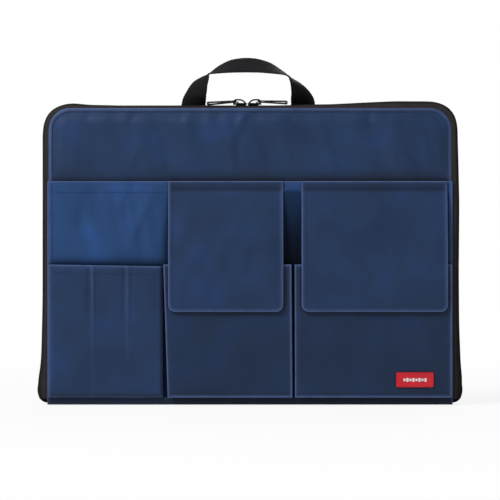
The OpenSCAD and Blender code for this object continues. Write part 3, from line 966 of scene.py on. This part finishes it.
def arch_path(half, top, radius, low, counts):
    """(x, z) points up the left side, over the top and down the right, and their outward normals."""
    side, corner, across = counts
    points, normals = [], []
    for z in np.linspace(low, top - radius, side, endpoint=False):
        points.append((-half, z))
        normals.append((-1, 0))
    for a in np.linspace(math.pi, math.pi / 2, corner, endpoint=False):
        points.append((-half + radius + radius * math.cos(a), top - radius + radius * math.sin(a)))
        normals.append((math.cos(a), math.sin(a)))
    for x in np.linspace(-half + radius, 0, across, endpoint=False):
        points.append((x, top))
        normals.append((0, 1))
    points, normals = np.array(points), np.array(normals)
    mirrored = points[::-1] * (-1, 1), normals[::-1] * (-1, 1)
    middle = np.array([[0, top]]), np.array([[0, 1]])
    return (np.concatenate([points, middle[0], mirrored[0]]),
            np.concatenate([normals, middle[1], mirrored[1]]))


def wavy(points, normals):
    """How far the cloth lets the zipper wander outward at each point."""
    x, z = points[:, 0], points[:, 1]
    top = np.interp(x, *zip(*TOP_WAVE))
    left, right = [np.interp(z, *zip(*SIDE_WAVE[s])) for s in (-1, 1)]
    side = np.where(x < 0, left, right)
    share = normals[:, 1] ** 2
    raw = top * share + side * (1 - share)
    kernel = np.hanning(13)
    even = np.convolve(np.pad(raw, 6, mode="edge"), kernel / kernel.sum(), mode="valid")
    corner = (2 * normals[:, 0] * normals[:, 1]) ** 2
    return even + corner * np.where(x < 0, CORNER_WAVE[-1], CORNER_WAVE[1])


def make_tape(name, body, node, facing):
    """Zipper tape: from under the panel's edge it curves in to its row of coil."""
    counts = (110, 26, 150)
    edge, _ = arch_path(PANEL_HALF, PANEL_TOP, PANEL_R, CHAIN_LOW - 0.8, counts)
    chain, normals = arch_path(CHAIN_HALF, CHAIN_TOP, CHAIN_R, CHAIN_LOW, counts)
    length = run_along(chain)
    reach = abs(SPLIT_Y - FRONT.y[1])  # from the zipper's middle to behind the panel's cloth
    coil_side = 2.55
    # share of the way from the panel's edge to the zipper's line, depth from the zipper's middle,
    # and how far inside that line: the last part lies under the coil
    profile = [(-0.9, reach + 0.35, 0), (-0.2, reach + 0.3, 0), (0.12, reach + 0.35, 0),
               (0.36, reach + 0.1, 0), (0.58, reach - 0.7, 0), (0.74, reach - 1.9, 0),
               (0.82, reach - 3.2, 0), (0.86, coil_side + 0.7, 0), (0.88, coil_side + 0.2, 0.2),
               (1, coil_side - 0.2, 0.9), (1, 1.8, 1.28), (1, 1, 1.34), (1, 0.28, 1.3)]
    wave = wavy(chain, normals)
    rows, row_gap = [], 1.3
    for k, (share, depth, inside) in enumerate(profile):
        inward = min(share, 0) * 4 - inside
        place = edge + (chain - edge) * max(share, 0) + normals * inward
        loose = float(smooth(np.array((share + 0.1) / 0.6)) * smooth(np.array((0.84 - share) / 0.16)))
        lift = loose * (wave if facing < 0 else 0.5 * wave)
        soft = 0.25 * np.sin(length / 21 + 2 * k) * loose
        place = place + normals * (lift + soft * 0.3)[:, None]
        rows.append(np.stack([place[:, 0], SPLIT_Y + facing * (depth + soft), place[:, 1]], -1))
    surface = resampled(np.stack(rows))
    across = np.arange(len(rows)) * row_gap
    lay = [np.stack([length, np.full_like(length, a), 0 * length], -1) for a in across]
    lay = resampled(np.stack(lay))
    under_coil = 4  # rows that lie under the coil, where the tape is thinner
    thick = np.array([0.7] * (len(rows) - under_coil) + [0.4] * under_coil)
    thick = resampled(thick[:, None, None])[:, :, 0]
    piece = sheet_piece(name, surface, thick, "tape", None, lay)
    place_in(piece, body, "zip_tape", node)
    girth = float(run_along(surface[:, 60])[-1])
    return flat_sheet(piece, girth, float(length[-1]), name.split("_")[0] + "_panel_cloth")


def resampled(grid, factor=3):
    """A grid with its rows interpolated smoothly, factor times as close."""
    rows = grid.shape[0]
    t = np.linspace(0, rows - 1, (rows - 1) * factor + 1)
    i = np.clip(t.astype(int), 0, rows - 2)
    f = (t - i)[:, None, None]
    before, after = np.maximum(i - 1, 0), np.minimum(i + 2, rows - 1)
    p0, p1, p2, p3 = grid[before], grid[i], grid[i + 1], grid[after]
    return 0.5 * (2 * p1 + (p2 - p0) * f + (2 * p0 - 5 * p1 + 4 * p2 - p3) * f**2
                  + (3 * p1 - p0 - 3 * p2 + p3) * f**3)


def tube(path, radius):
    """Points and faces of a five-sided tube along a path of 3-D points."""
    sides = 5
    tangent = unit(np.gradient(path, axis=0))
    across = unit(np.cross(tangent, np.array([0.31, 0.84, 0.44])))
    other = np.cross(tangent, across)
    a = np.arange(sides) * 2 * math.pi / sides
    ring = across[:, None] * np.cos(a)[None, :, None] + other[:, None] * np.sin(a)[None, :, None]
    return (path[:, None] + ring * radius).reshape(-1, 3), round_faces(len(path), sides)


def make_coil(name, body, node, facing, phase):
    """A row of nylon coil: one filament wound along the zipper's line."""
    pitch, per_turn, filament = 1.5, 9, 0.36
    centre_off, reach_y, reach_out = 1.62, 1.25, 0.75
    chain, normals = arch_path(CHAIN_HALF, CHAIN_TOP, CHAIN_R, CHAIN_LOW, (700, 160, 900))
    length = run_along(chain)
    s = np.arange(0, length[-1], pitch / per_turn)
    x, z = np.interp(s, length, chain[:, 0]), np.interp(s, length, chain[:, 1])
    nx, nz = np.interp(s, length, normals[:, 0]), np.interp(s, length, normals[:, 1])
    angle = 2 * math.pi * (s / pitch + phase)
    out = reach_out * np.cos(angle)
    y = SPLIT_Y + facing * (centre_off + reach_y * np.sin(angle))
    path = np.stack([x + nx * out, y, z + nz * out], -1)
    piece = mesh_piece(name, *tube(path, filament), "coil")
    return place_in(piece, body, "zip_coil", node)


def make_end_tab(side):
    """Folded cloth that closes the zipper's lower end: a foot on the base and a soft bulge outside."""
    name = "left_end_tab" if side < 0 else "right_end_tab"
    span = Span(name)
    outer = max(abs(span.x[0]), abs(span.x[1]))
    inner = min(abs(span.x[0]), abs(span.x[1]))
    face = outer - 3.4
    low, high = span.z
    # height, and how far out the fold's inner and outer side are
    levels = [(low, inner, inner + 4.4), (low + 0.8, inner, face - 1.2), (low + 2.2, inner, face + 0.8),
              (4.6, inner, face + 1.6), (4.8, face, face + 1.8), (6.5, face, outer - 0.9),
              (9.5, face, outer), (13, face, outer + 0.1), (17, face, outer - 0.2), (22, face, outer - 1.4),
              (27, face, face + 1.3), (31, face, face + 0.7), (high, face, face + 0.25)]
    points, count = [], 24
    for z, x_in, x_out in levels:
        for a in turns(count):
            c, s = math.cos(a), math.sin(a)
            bulge = (abs(c) ** 0.55 * math.copysign(1, c), abs(s) ** 0.35 * math.copysign(1, s))
            crease = 0.18 * math.sin(z * 1.1 + 3 * a) if z > 5 and c > 0 else 0
            x = (x_in + x_out) / 2 + (x_out - x_in) / 2 * bulge[0] + crease
            slack = 0.97 + 0.03 * math.cos(z / 4)
            y = span.mid("y") + (span.y[1] - span.y[0]) / 2 * bulge[1] * slack
            points.append((side * x, y, z))
    faces = round_faces(len(levels), count)
    piece = mesh_piece(name + "_cloth", points, faces, "tab")
    rounding = piece.modifiers.new("smooth", "SUBSURF")
    rounding.levels = 1
    rounding.render_levels = 1
    return place_in(piece, "base", "zip_tape", name)


# ---- sliders ----


def arch_strap(x, z, rise, thick, width):
    """A slider's bail: a strap bent over in an uneven arch from its tail to its nose."""
    tail, nose = x
    run = nose - tail
    shape = [(0, 0), (0.0, 0.3), (0.0, 0.6), (0.03, 0.83), (0.1, 0.96), (0.22, 1.0), (0.4, 1.0),
             (0.56, 0.96), (0.7, 0.82), (0.83, 0.58), (0.93, 0.3), (1, 0)]
    path = np.array([(tail + run * a, z + rise * b) for a, b in shape])
    path = resampled(path[:, None, :], 3)[:, 0]
    tangent = unit(np.gradient(path, axis=0))
    normal = np.stack([-tangent[:, 1], tangent[:, 0]], -1)
    ring = round_box((-width / 2, width / 2), (-thick / 2, thick / 2), thick * 0.42, 3)
    points = []
    for k, (p, n) in enumerate(zip(path, normal)):
        taper = 1 - 0.22 * k / len(path)
        points += [(p[0] + n[0] * v, u * taper, p[1] + n[1] * v) for u, v in ring]
    return np.array(points), round_faces(len(path), len(ring))


def make_bail(side_name, sign):
    node = f"{side_name}_slider_bail"
    span = Span(node)
    tail, nose = (span.x[0], span.x[1]) if sign < 0 else (span.x[1], span.x[0])
    inset = 0.5 if tail < nose else -0.5
    rise = span.z[1] - span.z[0] - 0.6
    points, faces = arch_strap((tail + inset, nose - inset), span.z[0], rise, thick=1.2, width=3)
    points[:, 1] += span.mid("y")
    piece = mesh_piece(node + "_arch", points, faces, "metal")
    return place_in(piece, f"slider_{side_name}", "slider_metal", node)


def make_rivet(side_name, sign):
    """The bright spring post that shows under the bail."""
    span = Span(f"{side_name}_slider_bail")
    body = Span(f"{side_name}_slider_body")
    tail = span.x[0] if sign < 0 else span.x[1]
    x = tail - sign * 3.1
    profile = [(0, 0.75), (0.15, 0.8), (1.2, 0.72), (1.45, 0.55), (1.52, 0.05)]  # height, radius
    y, base, sides = body.mid("y"), body.z[1], 14
    points = [(x + r * math.cos(a), y + r * math.sin(a), base + z) for z, r in profile for a in turns(sides)]
    faces = round_faces(len(profile), sides)
    piece = mesh_piece(f"{side_name}_slider_post", points, faces, "bare")
    return place_in(piece, f"slider_{side_name}", "slider_metal")


def make_pull(side_name, sign):
    """A long flat pull with an eye round the bail and an open slot along it."""
    pivot = Vector(hinge_of(f"pull_{side_name}"))
    span = Span(f"{side_name}_pull")
    length = max(abs(span.x[0] - pivot.x / MM), abs(span.x[1] - pivot.x / MM)) - 0.1
    half = (span.y[1] - span.y[0]) / 2
    droop = math.radians(4.4 if sign < 0 else 2.2)
    arm, rail, eye = 1.9, 2.15, 3.3
    outline = round_box((-length, 0.45), (-half, half), 1.5)
    eye_hole = round_box((-eye, -0.45), (-arm, arm), 0.5, 4)
    slot = round_box((-length + 1.7, -eye - 1.7), (-half + rail, half - rail), 1.2)
    loops = [outline, eye_hole, slot]
    piece = plate_piece(f"{side_name}_pull_tab", loops, 1.05, 0.3, "metal", Matrix.Identity(4))
    for vertex in piece.data.vertices:
        along = smooth(np.array((-vertex.co.x / MM - 3) / 9))
        vertex.co = Matrix.Rotation(math.radians(12 + 10 * float(along)), 4, "X") @ vertex.co
    flip = Matrix.Scale(-1, 4, (1, 0, 0)) if sign > 0 else Matrix.Identity(4)
    piece.data.transform(Matrix.Translation(pivot) @ flip @ Matrix.Rotation(-droop, 4, "Y"))
    return place_in(piece, f"pull_{side_name}", "slider_metal", f"{side_name}_pull")


def repaint(node, material):
    """Gives a CAD piece that stays in sight one of the materials."""
    obj = frame["nodes"][node]
    obj.data.materials.clear()
    obj.data.materials.append(MATERIALS[material])
    return obj


def finish_slider_body(side_name):
    edge = repaint(f"{side_name}_slider_body", "metal").modifiers.new("edge", "BEVEL")
    edge.width = 0.25 * MM
    edge.segments = 2
    edge.limit_method = "ANGLE"


# ---- handle ----

# x, z, turn about the webbing's length and forward tilt, as in the design. A z of 0 stands for the
# sewn end's.
ROUTE = [
    (-46.1, 0.0, 0, 0), (-45.5, 251, 10, 0), (-44.7, 254.5, 22, 0), (-43.5, 258, 31, 0),
    (-42.2, 262, 41, 0), (-40.1, 266, 51, 0), (-37.2, 269.4, 68, 0), (-34.2, 271.9, 90, 3),
    (-30, 273.8, 90, 12), (-24.6, 275.9, 90, 23), (-16, 278.1, 90, 35), (-6.5, 279, 90, 40),
    (1, 279, 90, 40), (8, 278.4, 90, 37), (17, 276.6, 90, 29), (24.9, 273.8, 90, 15),
    (29, 272, 90, 8), (32.2, 269.9, 90, 3), (34.6, 267.6, 104, 0), (36.9, 265.2, 114, 0),
    (39, 262.2, 126, 0), (40.7, 259, 137, 0), (42, 255.5, 149, 0), (42.8, 251.5, 166, 0),
    (43.3, 0.0, 180, 0),
]


def web_stations():
    """Middle and width direction of the webbing from one sewn end to the other."""
    anchors = Span("handle_anchors")
    low = Span("handle_webbing").z[0]
    back = REAR.y[1]
    middles, widths = [], []
    for x, z, turn, tilt in ROUTE:
        turn, tilt = math.radians(turn), math.radians(tilt)
        width = (math.cos(turn), -math.sin(turn) * math.cos(tilt), -math.sin(turn) * math.sin(tilt))
        middles.append((x, back - 9 * math.sin(turn) * math.cos(tilt), z or low))
        widths.append(width)
    sewn = [(back - 1.2, anchors.z[0]), (back - 1.2, 236), (back - 1.15, PANEL_TOP - 1.5),
            (back - 0.7, PANEL_TOP - 0.2), (back - 0.1, PANEL_TOP + 1.1)]
    first = [(ROUTE[0][0], y, z) for y, z in sewn]
    last = [(ROUTE[-1][0], y, z) for y, z in sewn][::-1]
    widths = [widths[0]] * len(first) + widths + [widths[-1]] * len(last)
    return np.array(first + middles + last), np.array(widths)


def make_handle():
    middles, widths = web_stations()
    fine = resampled(np.concatenate([middles, widths], 1)[:, None, :], 12)[:, 0]
    middles, widths = fine[:, :3], fine[:, 3:]
    length = run_along(middles)
    even = np.arange(0, length[-1], 0.4)  # rows along the webbing
    middles = np.stack([np.interp(even, length, middles[:, k]) for k in range(3)], -1)
    widths = np.stack([np.interp(even, length, widths[:, k]) for k in range(3)], -1)
    widths = unit(widths)
    half, outward = 9.7, 0.7  # half its width, and how far its middle lies out from the route
    scallop, thickness, rib = 0.42, 1.2, 0.1
    to_edge = np.array([0.25, 0.5, 0.75, 0.88, 0.94, 0.985, 1])
    steps = np.concatenate([-to_edge[::-1], [0], to_edge])
    serrated = scallop * np.abs(np.sin(even * math.pi / 2.5))
    across = steps[None, :] * half + np.sign(steps)[None, :] * serrated[:, None] * (np.abs(steps) > 0.9)
    surface = middles[:, None, :] + widths[:, None, :] * (across[:, :, None] - outward)
    edge = half - np.abs(across)
    thick = thickness * np.sqrt(np.clip(1 - (1 - np.clip(edge / 0.6, 0.05, 1)) ** 2, 0.05, 1))
    ribs = rib * np.abs(np.sin(across * math.pi / 2.2))
    lay = np.stack([np.repeat(even[:, None], len(steps), 1), across, 0 * across], -1)
    # lighter at the worn, fluffy edges, and over the top of the handle as painted highlight
    wear_and_highlight = 0.5 * np.exp(-edge / 0.7) + 0.15 * smooth((surface[..., 2] - 268) / 12)
    piece = sheet_piece("handle_web", surface, thick + ribs, "web", wear_and_highlight, lay)
    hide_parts("handle_webbing", "handle_anchors")
    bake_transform(piece)
    return flat_sheet(piece, 2 * half, float(even[-1]), "rear_panel_cloth")


# ---- folding base ----


def make_base_cloth(name, y_from, y_to, node=None):
    """Half of the folding base, from a shell's lower edge to the middle of the base."""
    span = Span("base_strip")
    x, y = np.meshgrid(spaced(span.x[0], span.x[1], 4), np.linspace(y_from, y_to, 22))
    middle = abs(y_to - y) / abs(y_to - y_from)
    sag = 0.06 * ripples(x, y, 61, 30)
    z = 0.6 + 0.12 * (1 - middle) + sag
    surface = np.stack([x, y, z], -1)
    piece = sheet_piece(name, surface, 0.9, "binding")
    piece.data.materials.append(MATERIALS["lining"])
    for polygon in piece.data.polygons:
        polygon.material_index = 1 if polygon.normal.z > 0.3 else 0
    if node:
        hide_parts(node)
    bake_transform(piece)
    return narrow_sheet(piece, span.x[1] - span.x[0], abs(y_to - y_from), [])


# ---- pockets ----


def make_slip_pocket():
    x = (SLIP.x[0] - 0.9, SLIP.x[1] + 0.9)
    outline = Outline(x, SLIP.z, top_r=1.2)
    pins = lambda px, pz: (pz < MOUTH_Z - 8) | (outline.distance(px, pz) < 5)
    puff = simulated_puff(x, (MOUTH_Z - 20, SLIP.z[1]), pins, 37, 0.02, 1.2, 4.5)

    def relief(px, pz, d):
        side = np.minimum(px - x[0], x[1] - px)
        hem = 0.3 * smooth((pz - SLIP.z[1] + 9.5) / 1.2)
        groove = -0.32 * bump(side, 3.9, 0.7)
        puckers = 0.16 * ripples(px, pz * 0.1, 71, 15, 7, 1.2) * bump(SLIP.z[1] - pz, 9, 7)
        open_cloth = smooth((PEN.x[1] - px) / 14) * smooth((pz - MOUTH_Z - 2) / 14)
        folds = 0.5 * ripples(px + 0.4 * pz, pz, 12, 34, 7, 1.5)
        folds = (folds + creases(px, pz, 14, 9, (-155, -80), (125, 172), 0.6)) * open_cloth
        soft = 0.5 * np.clip(puff(px, pz), -0.3, 1.2) * smooth((pz - MOUTH_Z) / 8)
        return hem + groove + puckers + (soft + folds) * smooth((side - 4) / 12)

    def marks(px, pz, d):
        # painted shade on the slip cloth between the flaps, beside the centre flap and just above the pocket
        # mouths; the lighter lines near the sides are wear and painted highlight
        side = np.minimum(px - x[0], x[1] - px)
        gap = smooth((px - CENTRE_FLAP.x[1] + 1) / 2) * smooth((RIGHT_FLAP.x[0] + 1 - px) / 2)
        down = smooth((BAND.z[0] + 1 - pz) / 55)
        mouth = bump(pz, MOUTH_Z + 0.5, 4.5) * smooth((px - PEN.x[1] + 8) / 8)
        below = 0.66 * smooth((BAND.z[0] + 2 - pz) / 5) + 0.3 * down
        shade = gap * np.clip(below + mouth, 0, 0.97)
        shade_beside = 0.45 * bump(px, CENTRE_FLAP.x[0] - 2, 2.5) * down
        shade_over_pens = 0.5 * np.exp(-np.abs(pz - MOUTH_Z) / 2.2) * smooth((PEN.x[1] - px) / 4)
        return 0.3 * bump(side, 1.8, 1.2), np.clip(shade + shade_beside + shade_over_pens, 0, 0.97)

    y = SLIP.y[0] + 0.5
    piece = panel_piece("slip_pocket_cloth", outline, y, 0.7, "slip", relief, 2.4, 1.0, marks)
    place_in(piece, "front_shell", "navy_cloth", "slip_pocket")
    return flat_sheet(piece, x[1] - x[0], SLIP.z[1], "front_panel_cloth")


def make_pen_pocket():
    outline = Outline(PEN.x, PEN.z, slope=1.5)
    face = PEN.y[0] + 0.4
    back = SLIP.y[0] - 0.4
    pins = lambda px, pz: np.minimum(px - PEN.x[0], PEN.x[1] - px) < 5
    puff = simulated_puff(PEN.x, PEN.z, pins, 53, 0.02, 0.8, 4)

    def relief(px, pz, d):
        side = np.minimum(np.minimum(px - PEN.x[0], PEN.x[1] - px), pz - PEN.z[0])
        wall = (back - face) * quarter_round(side / 3.6)
        high = smooth((pz - 38) / 60)
        tubes = sum(bump(px, s, 1.4) * 1.15 - 0.4 * (bump(px, s - 3.2, 1.2) + bump(px, s + 3.2, 1.2))
                    for s in PEN_SEAMS)
        hem = 0.2 * smooth((pz - PEN.z[1] + 6.5) / 1)
        soft = 0.3 * np.clip(puff(px, pz), -0.2, 0.7) * smooth((side - 4) / 8)
        return wall + tubes * high + hem + soft - 0.5

    def marks(px, pz, d):
        # a lighter line along each seam (wear and painted highlight) with painted shade just left of it
        high = smooth((pz - 45) / 60)
        seams = sum(bump(px, s + 0.4, 0.9) for s in PEN_SEAMS)
        shade_beside = sum(bump(px, s - 2.6, 1.3) for s in PEN_SEAMS)
        return (0.12 + 0.3 * high) * seams, 0.4 * high * shade_beside

    piece = panel_piece("pen_pocket_cloth", outline, back, 0.7, "pen", relief, 1.8, 1.1, marks)
    place_in(piece, "front_shell", "navy_cloth", "pen_pocket")
    turned_in = (6, 4)  # cloth folded behind at the sides, and at the top and bottom
    width, height = outline.size()
    return flat_sheet(piece, width + turned_in[0], height + turned_in[1], "slip_pocket_cloth")


def make_pocket_face(name, span, lean, node, seed):
    outline = Outline(span.x, span.z, lean=lean)
    pins = lambda px, pz: np.minimum(outline.distance(px, pz), span.z[1] - pz + 5) < 4
    puff = simulated_puff(span.x, span.z, pins, seed, 0.015, 0.8, 4.5)

    def relief(px, pz, d):
        low, high = outline.sides(pz)
        side = np.minimum(np.minimum(px - low, high - px), pz - span.z[0])
        piping = 0.3 * bump(side, 0.7, 0.7) - 0.22 * bump(side, 2.4, 0.7)
        hem = 0.2 * smooth((pz - span.z[1] + 10) / 1)
        return piping + hem + 0.25 * np.clip(puff(px, pz), -0.1, 0.8) * smooth((side - 3) / 10)

    piece = panel_piece(name, outline, span.mid("y") + 0.15, 0.75, "pocket", relief, 2.6, 1.5)
    place_in(piece, "front_shell", "navy_cloth", node)
    return flat_sheet(piece, *outline.size(), "slip_pocket_cloth")


def make_bellows(name, span, lean, node):
    """The pleated gusset round a pocket's sides and bottom, folded in between face and back."""
    depth = Span(node)
    z0, z1 = span.z
    x0, x1 = span.x[0] + lean[0], span.x[1] + lean[1]
    down = np.linspace(z1 - 0.4, z0 + 3, 34)
    corner = [(math.cos(a), math.sin(a)) for a in np.linspace(0, math.pi / 2, 7)[1:-1]]
    still_up = lambda z: (z - z0) / (z1 - z0)
    # x and z of points round the pocket, and the way to its inside
    left = [(x0 - lean[0] * still_up(z) + 0.3, z, 1, 0) for z in down]
    low_left = [(x0 + 3.3 - 3 * c, z0 + 3.3 - 3 * s, c, s) for c, s in corner]
    bottom = [(x, z0 + 0.3, 0, 1) for x in np.linspace(x0 + 3.4, x1 - 3.4, 30)]
    low_right = [(x1 - 3.3 + 3 * c, z0 + 3.3 - 3 * s, -c, s) for c, s in corner[::-1]]
    right = [(x1 - lean[1] * still_up(z) - 0.3, z, -1, 0) for z in down[::-1]]
    path = np.array(left + low_left + bottom + low_right + right)
    v = np.linspace(0, 1, 13)
    fold = 1.5 * (1 - np.abs(2 * v - 1)) ** 0.8 + 0.1
    y = depth.y[0] + (depth.y[1] - depth.y[0]) * v
    length = run_along(path[:, :2])
    waver = 1 + 0.12 * np.sin(length / 13)
    inward = fold[:, None] * waver
    surface = np.stack([path[:, 0] + path[:, 2] * inward, np.repeat(y[:, None], len(path), 1),
                        path[:, 1] + path[:, 3] * inward], -1)
    piece = sheet_piece(name, surface, 0.5, "gusset")
    place_in(piece, "front_shell", "navy_cloth", node)
    girth = float(run_along(surface[:, 5])[-1])
    return narrow_sheet(piece, girth, float(length[-1]), ["slip_pocket_cloth"])


def make_binding():
    outline = Outline((BINDING.x[0] - 0.6, BINDING.x[1] + 0.6), BINDING.z, low_r=0.8)

    def relief(px, pz, d):
        crown = 0.35 * np.sin(np.clip(pz / BINDING.z[1], 0, 1) * math.pi)
        return crown + 0.08 * ripples(px, pz, 83, 22)

    y = BINDING.mid("y") - 0.1
    piece = panel_piece("bottom_binding_tape", outline, y, 0.8, "binding", relief, 2.5, 0.4)
    place_in(piece, "front_shell", "navy_cloth", "bottom_binding")
    return narrow_sheet(piece, *outline.size(), ["slip_pocket_cloth"])


def make_flap(name, body, seed):
    """A flap and the band that is sewn down above it, as one cloth with a crease at the flap's hinge."""
    flap, band = Span(f"{name}_flap"), Span(f"{name}_flap_band")
    _, hinge_y, hinge_z = hinge_of(body)
    hinge_z /= MM
    outline = Outline(flap.x, (flap.z[0], band.z[1]), low_r=6, top_r=0.6)
    thick = 1.0
    out = flap.y[0] + thick / 2 + 0.1
    top = band.y[0] + thick / 2 + 0.15
    knee = MOUTH_Z - 3
    pins = lambda px, pz: (outline.distance(px, pz) < 4) | (pz > hinge_z)
    puff = simulated_puff(flap.x, outline.z, pins, seed, 0.01, 0.7, 4.5)

    x, z, d = outline.grid(2.8)
    t = (z - knee) / (flap.z[1] - knee)
    share = np.clip(np.logaddexp(0, t * 14) / 14, 0, 1)
    edge = 0.16 * bump(d, 0.9, 0.8) - 0.26 * bump(d, 3.8, 0.7)
    fold = -0.4 * bump(z, hinge_z, 0.9)
    folds = 0.2 * ripples(x - 0.5 * z, z, seed, 46, 6, 1.5)
    folds = folds + creases(x, z, seed, 7, flap.x, (flap.z[0] + 10, hinge_z - 20), 0.35)
    soft = (0.3 * np.clip(puff(x, z), -0.2, 0.8) + folds) * smooth((d - 4) / 9)
    soft = soft * smooth((hinge_z - z) / 9)
    y = out + (top - out) * share - edge - fold - soft
    surface = np.stack([x, y, z], -1)
    # painted shade on the band above the hinge and along the hinge crease; lighter edges from wear and
    # painted highlight
    hem = 0.35 * smooth((z - hinge_z + 0.5) / 1) + 0.3 * bump(z, hinge_z, 0.8)
    wear_and_highlight = 1.5 * np.exp(-d / 0.8)
    piece = sheet_piece(f"{name}_flap_cloth", surface, rolled(thick, d), "flap", wear_and_highlight, None, hem)
    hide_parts(f"{name}_flap", f"{name}_flap_band")
    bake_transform(piece)
    return flat_sheet(piece, *outline.size(), "slip_pocket_cloth", "hung")


def shrunk(ends, inset):
    return ends[0] + inset, ends[1] - inset


def make_patch(node, body, material, stitched):
    """A sewn-on piece of hook or loop tape. Its stitched border may be left out where it can't be seen."""
    span = Span(node)
    loops = [round_box(span.x, span.z, 1.5)]
    thick = span.y[1] - span.y[0]
    piece = plate_piece(node + "_tape", loops, thick, 0.12, material, facing_front(span.mid("y")))
    place_in(piece, body, "hook_loop", node)
    if stitched:
        (x0, x1), (z0, z1) = shrunk(span.x, 1.8), shrunk(span.z, 1.8)
        border = [(x0, z0), (x1, z0), (x1, z1), (x0, z1), (x0, z0)]
        stitches(node + "_stitches", body, [(piece, border)])


def make_label():
    """A moulded label: a raised rim and a plain row of raised dashes in place of a mark."""
    span = Span("label_patch")
    outer, inner = [round_box(shrunk(span.x, inset), shrunk(span.z, inset), radius)
                    for inset, radius in ((0.7, 0.9), (1.3, 0.6))]

    def add(name, loops, thick, bevel, material, y):
        plate = plate_piece(name, loops, thick, bevel, material, facing_front(y))
        return place_in(plate, "front_shell", "label_rubber")

    base = add("label_base", [round_box(span.x, span.z, 1.3)], 0.9, 0.25, "label", span.mid("y"))
    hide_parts("label_patch")
    add("label_rim", [outer, inner], 0.3, 0.1, "label", span.y[0] - 0.05)
    middle = span.mid("z")
    count, first, last = 8, *shrunk(span.x, 5.5)
    width = (last - first) / count
    for k in range(count):
        x = first + k * width
        tall = 1.5 if k % 2 else 1.0
        loop = round_box((x + 0.35, x + width - 0.35), (middle - tall, middle + tall), 0.35, 4)
        add(f"label_dash_{k + 1}", [loop], 0.3, 0.08, "mark", span.y[0] - 0.06)


def finish_inner_nodes():
    for shell in ("front", "rear"):
        repaint(f"{shell}_foam", "foam")
        repaint(f"{shell}_stiffener", "board")


# ---- seams ----


def arch_line(inset, low):
    """A stitch line at an inset inside the panel's outline, open at the bottom."""
    half, top, radius = PANEL_HALF - inset, PANEL_TOP - inset, PANEL_R - inset
    points, _ = arch_path(half, top, radius, low, (2, 10, 2))
    return [tuple(p) for p in points]


def make_stitching(front, rear, slip, pen, centre, right):
    arch = [(front, arch_line(2.9, SLIP.z[1] + 1))]
    stitches("front_panel_stitches", "front_shell", arch, radius=0.36)
    stitches("rear_panel_stitches", "back_shell", [(rear, arch_line(3.4, 3))], facing=1)
    side = SLIP.x[1] - 3
    stitches("slip_pocket_stitches", "front_shell", [
        (slip, [(-side, MOUTH_Z + 2), (-side, SLIP.z[1] - 1)]),
        (slip, [(side, MOUTH_Z + 2), (side, SLIP.z[1] - 1)]),
        (slip, [(-side, SLIP.z[1] - 9.3), (side, SLIP.z[1] - 9.3)]),
    ])
    mouth = PEN.z[1] - 7
    pen_rows = [(pen, [(PEN.x[0] + 4, mouth), (PEN.x[1] - 4, mouth - 1.4)])]
    pen_rows += [(pen, [(s, 9), (s, 36)]) for s in PEN_SEAMS]
    stitches("pen_pocket_stitches", "front_shell", pen_rows, length=1.6, radius=0.27)
    for name, on, span, lean in (("centre", centre, CENTRE, 3.6), ("right", right, RIGHT, 0)):
        left = span.x[0] + 2.4
        line = [(left, span.z[1] - 1), (left + lean * 0.95, span.z[0] + 2.4),
                (span.x[1] - 2.4, span.z[0] + 2.4), (span.x[1] - 2.4, span.z[1] - 1)]
        stitches(f"{name}_pocket_stitches", "front_shell", [(on, line)], length=1.5, radius=0.16)


def flap_stitches(name, piece, body):
    flap, band = Span(f"{name}_flap"), Span(f"{name}_flap_band")
    (x0, x1), z0, top = shrunk(flap.x, 3.8), flap.z[0] + 3.8, flap.z[1] - 5
    line = [(x0, top), (x0, z0 + 2), (x0 + 2, z0), (x1 - 2, z0), (x1, z0 + 2), (x1, top)]
    stitches(f"{name}_flap_stitches", body, [(piece, line)], length=1.5, radius=0.16)
    left, right = shrunk(flap.x, 3)
    rows = [(piece, [(left, z), (right, z)]) for z in (band.z[0] + 1, band.z[1] - 1.4)]
    stitches(f"{name}_band_stitches", "front_shell", rows, length=1.5, radius=0.16)


# ---- build ----


make_camera()
make_studio()
make_floor()

front_panel = make_front_panel()
rear_panel = make_rear_panel()
slip_pocket = make_slip_pocket()
make_lining("front_lining_cloth", "front_shell", "front_lining", -1)
make_lining("rear_lining_cloth", "back_shell", "rear_lining", 1)
make_inner_pocket()
finish_inner_nodes()
make_tape("front_tape_cloth", "front_shell", "front_zip_tape", -1)
make_tape("rear_tape_cloth", "back_shell", "rear_zip_tape", 1)
make_coil("front_coil_teeth", "front_shell", "front_zip_coil", -1, 0)
make_coil("rear_coil_teeth", "back_shell", "rear_zip_coil", 1, 0.5)
for side in (-1, 1):
    make_end_tab(side)
for side_name, sign in (("left", -1), ("right", 1)):
    finish_slider_body(side_name)
    make_bail(side_name, sign)
    make_rivet(side_name, sign)
    make_pull(side_name, sign)
make_handle()
make_base_cloth("base_cloth_rear", REAR.y[0] - 0.05, SPLIT_Y, "base_strip")
make_base_cloth("base_cloth_front", FRONT.y[1] + 0.05, SPLIT_Y)
pen_pocket = make_pen_pocket()
centre_pocket = make_pocket_face("centre_pocket_cloth", CENTRE, CENTRE_LEAN, "centre_pocket_face", 67)
right_pocket = make_pocket_face("right_pocket_cloth", RIGHT, RIGHT_LEAN, "right_pocket_face", 79)
make_bellows("centre_pocket_bellows", CENTRE, CENTRE_LEAN, "centre_pocket_gusset")
make_bellows("right_pocket_bellows", RIGHT, RIGHT_LEAN, "right_pocket_gusset")
make_binding()
for name, body, seed in (("centre", "flap_centre", 97), ("right", "flap_right", 101)):
    flap = make_flap(name, body, seed)
    flap_stitches(name, flap, body)
    make_patch(f"{name}_flap_hook", body, "hook", False)
    make_patch(f"{name}_pocket_loop", "front_shell", "loop", True)
make_label()
make_stitching(front_panel, rear_panel, slip_pocket, pen_pocket, centre_pocket, right_pocket)
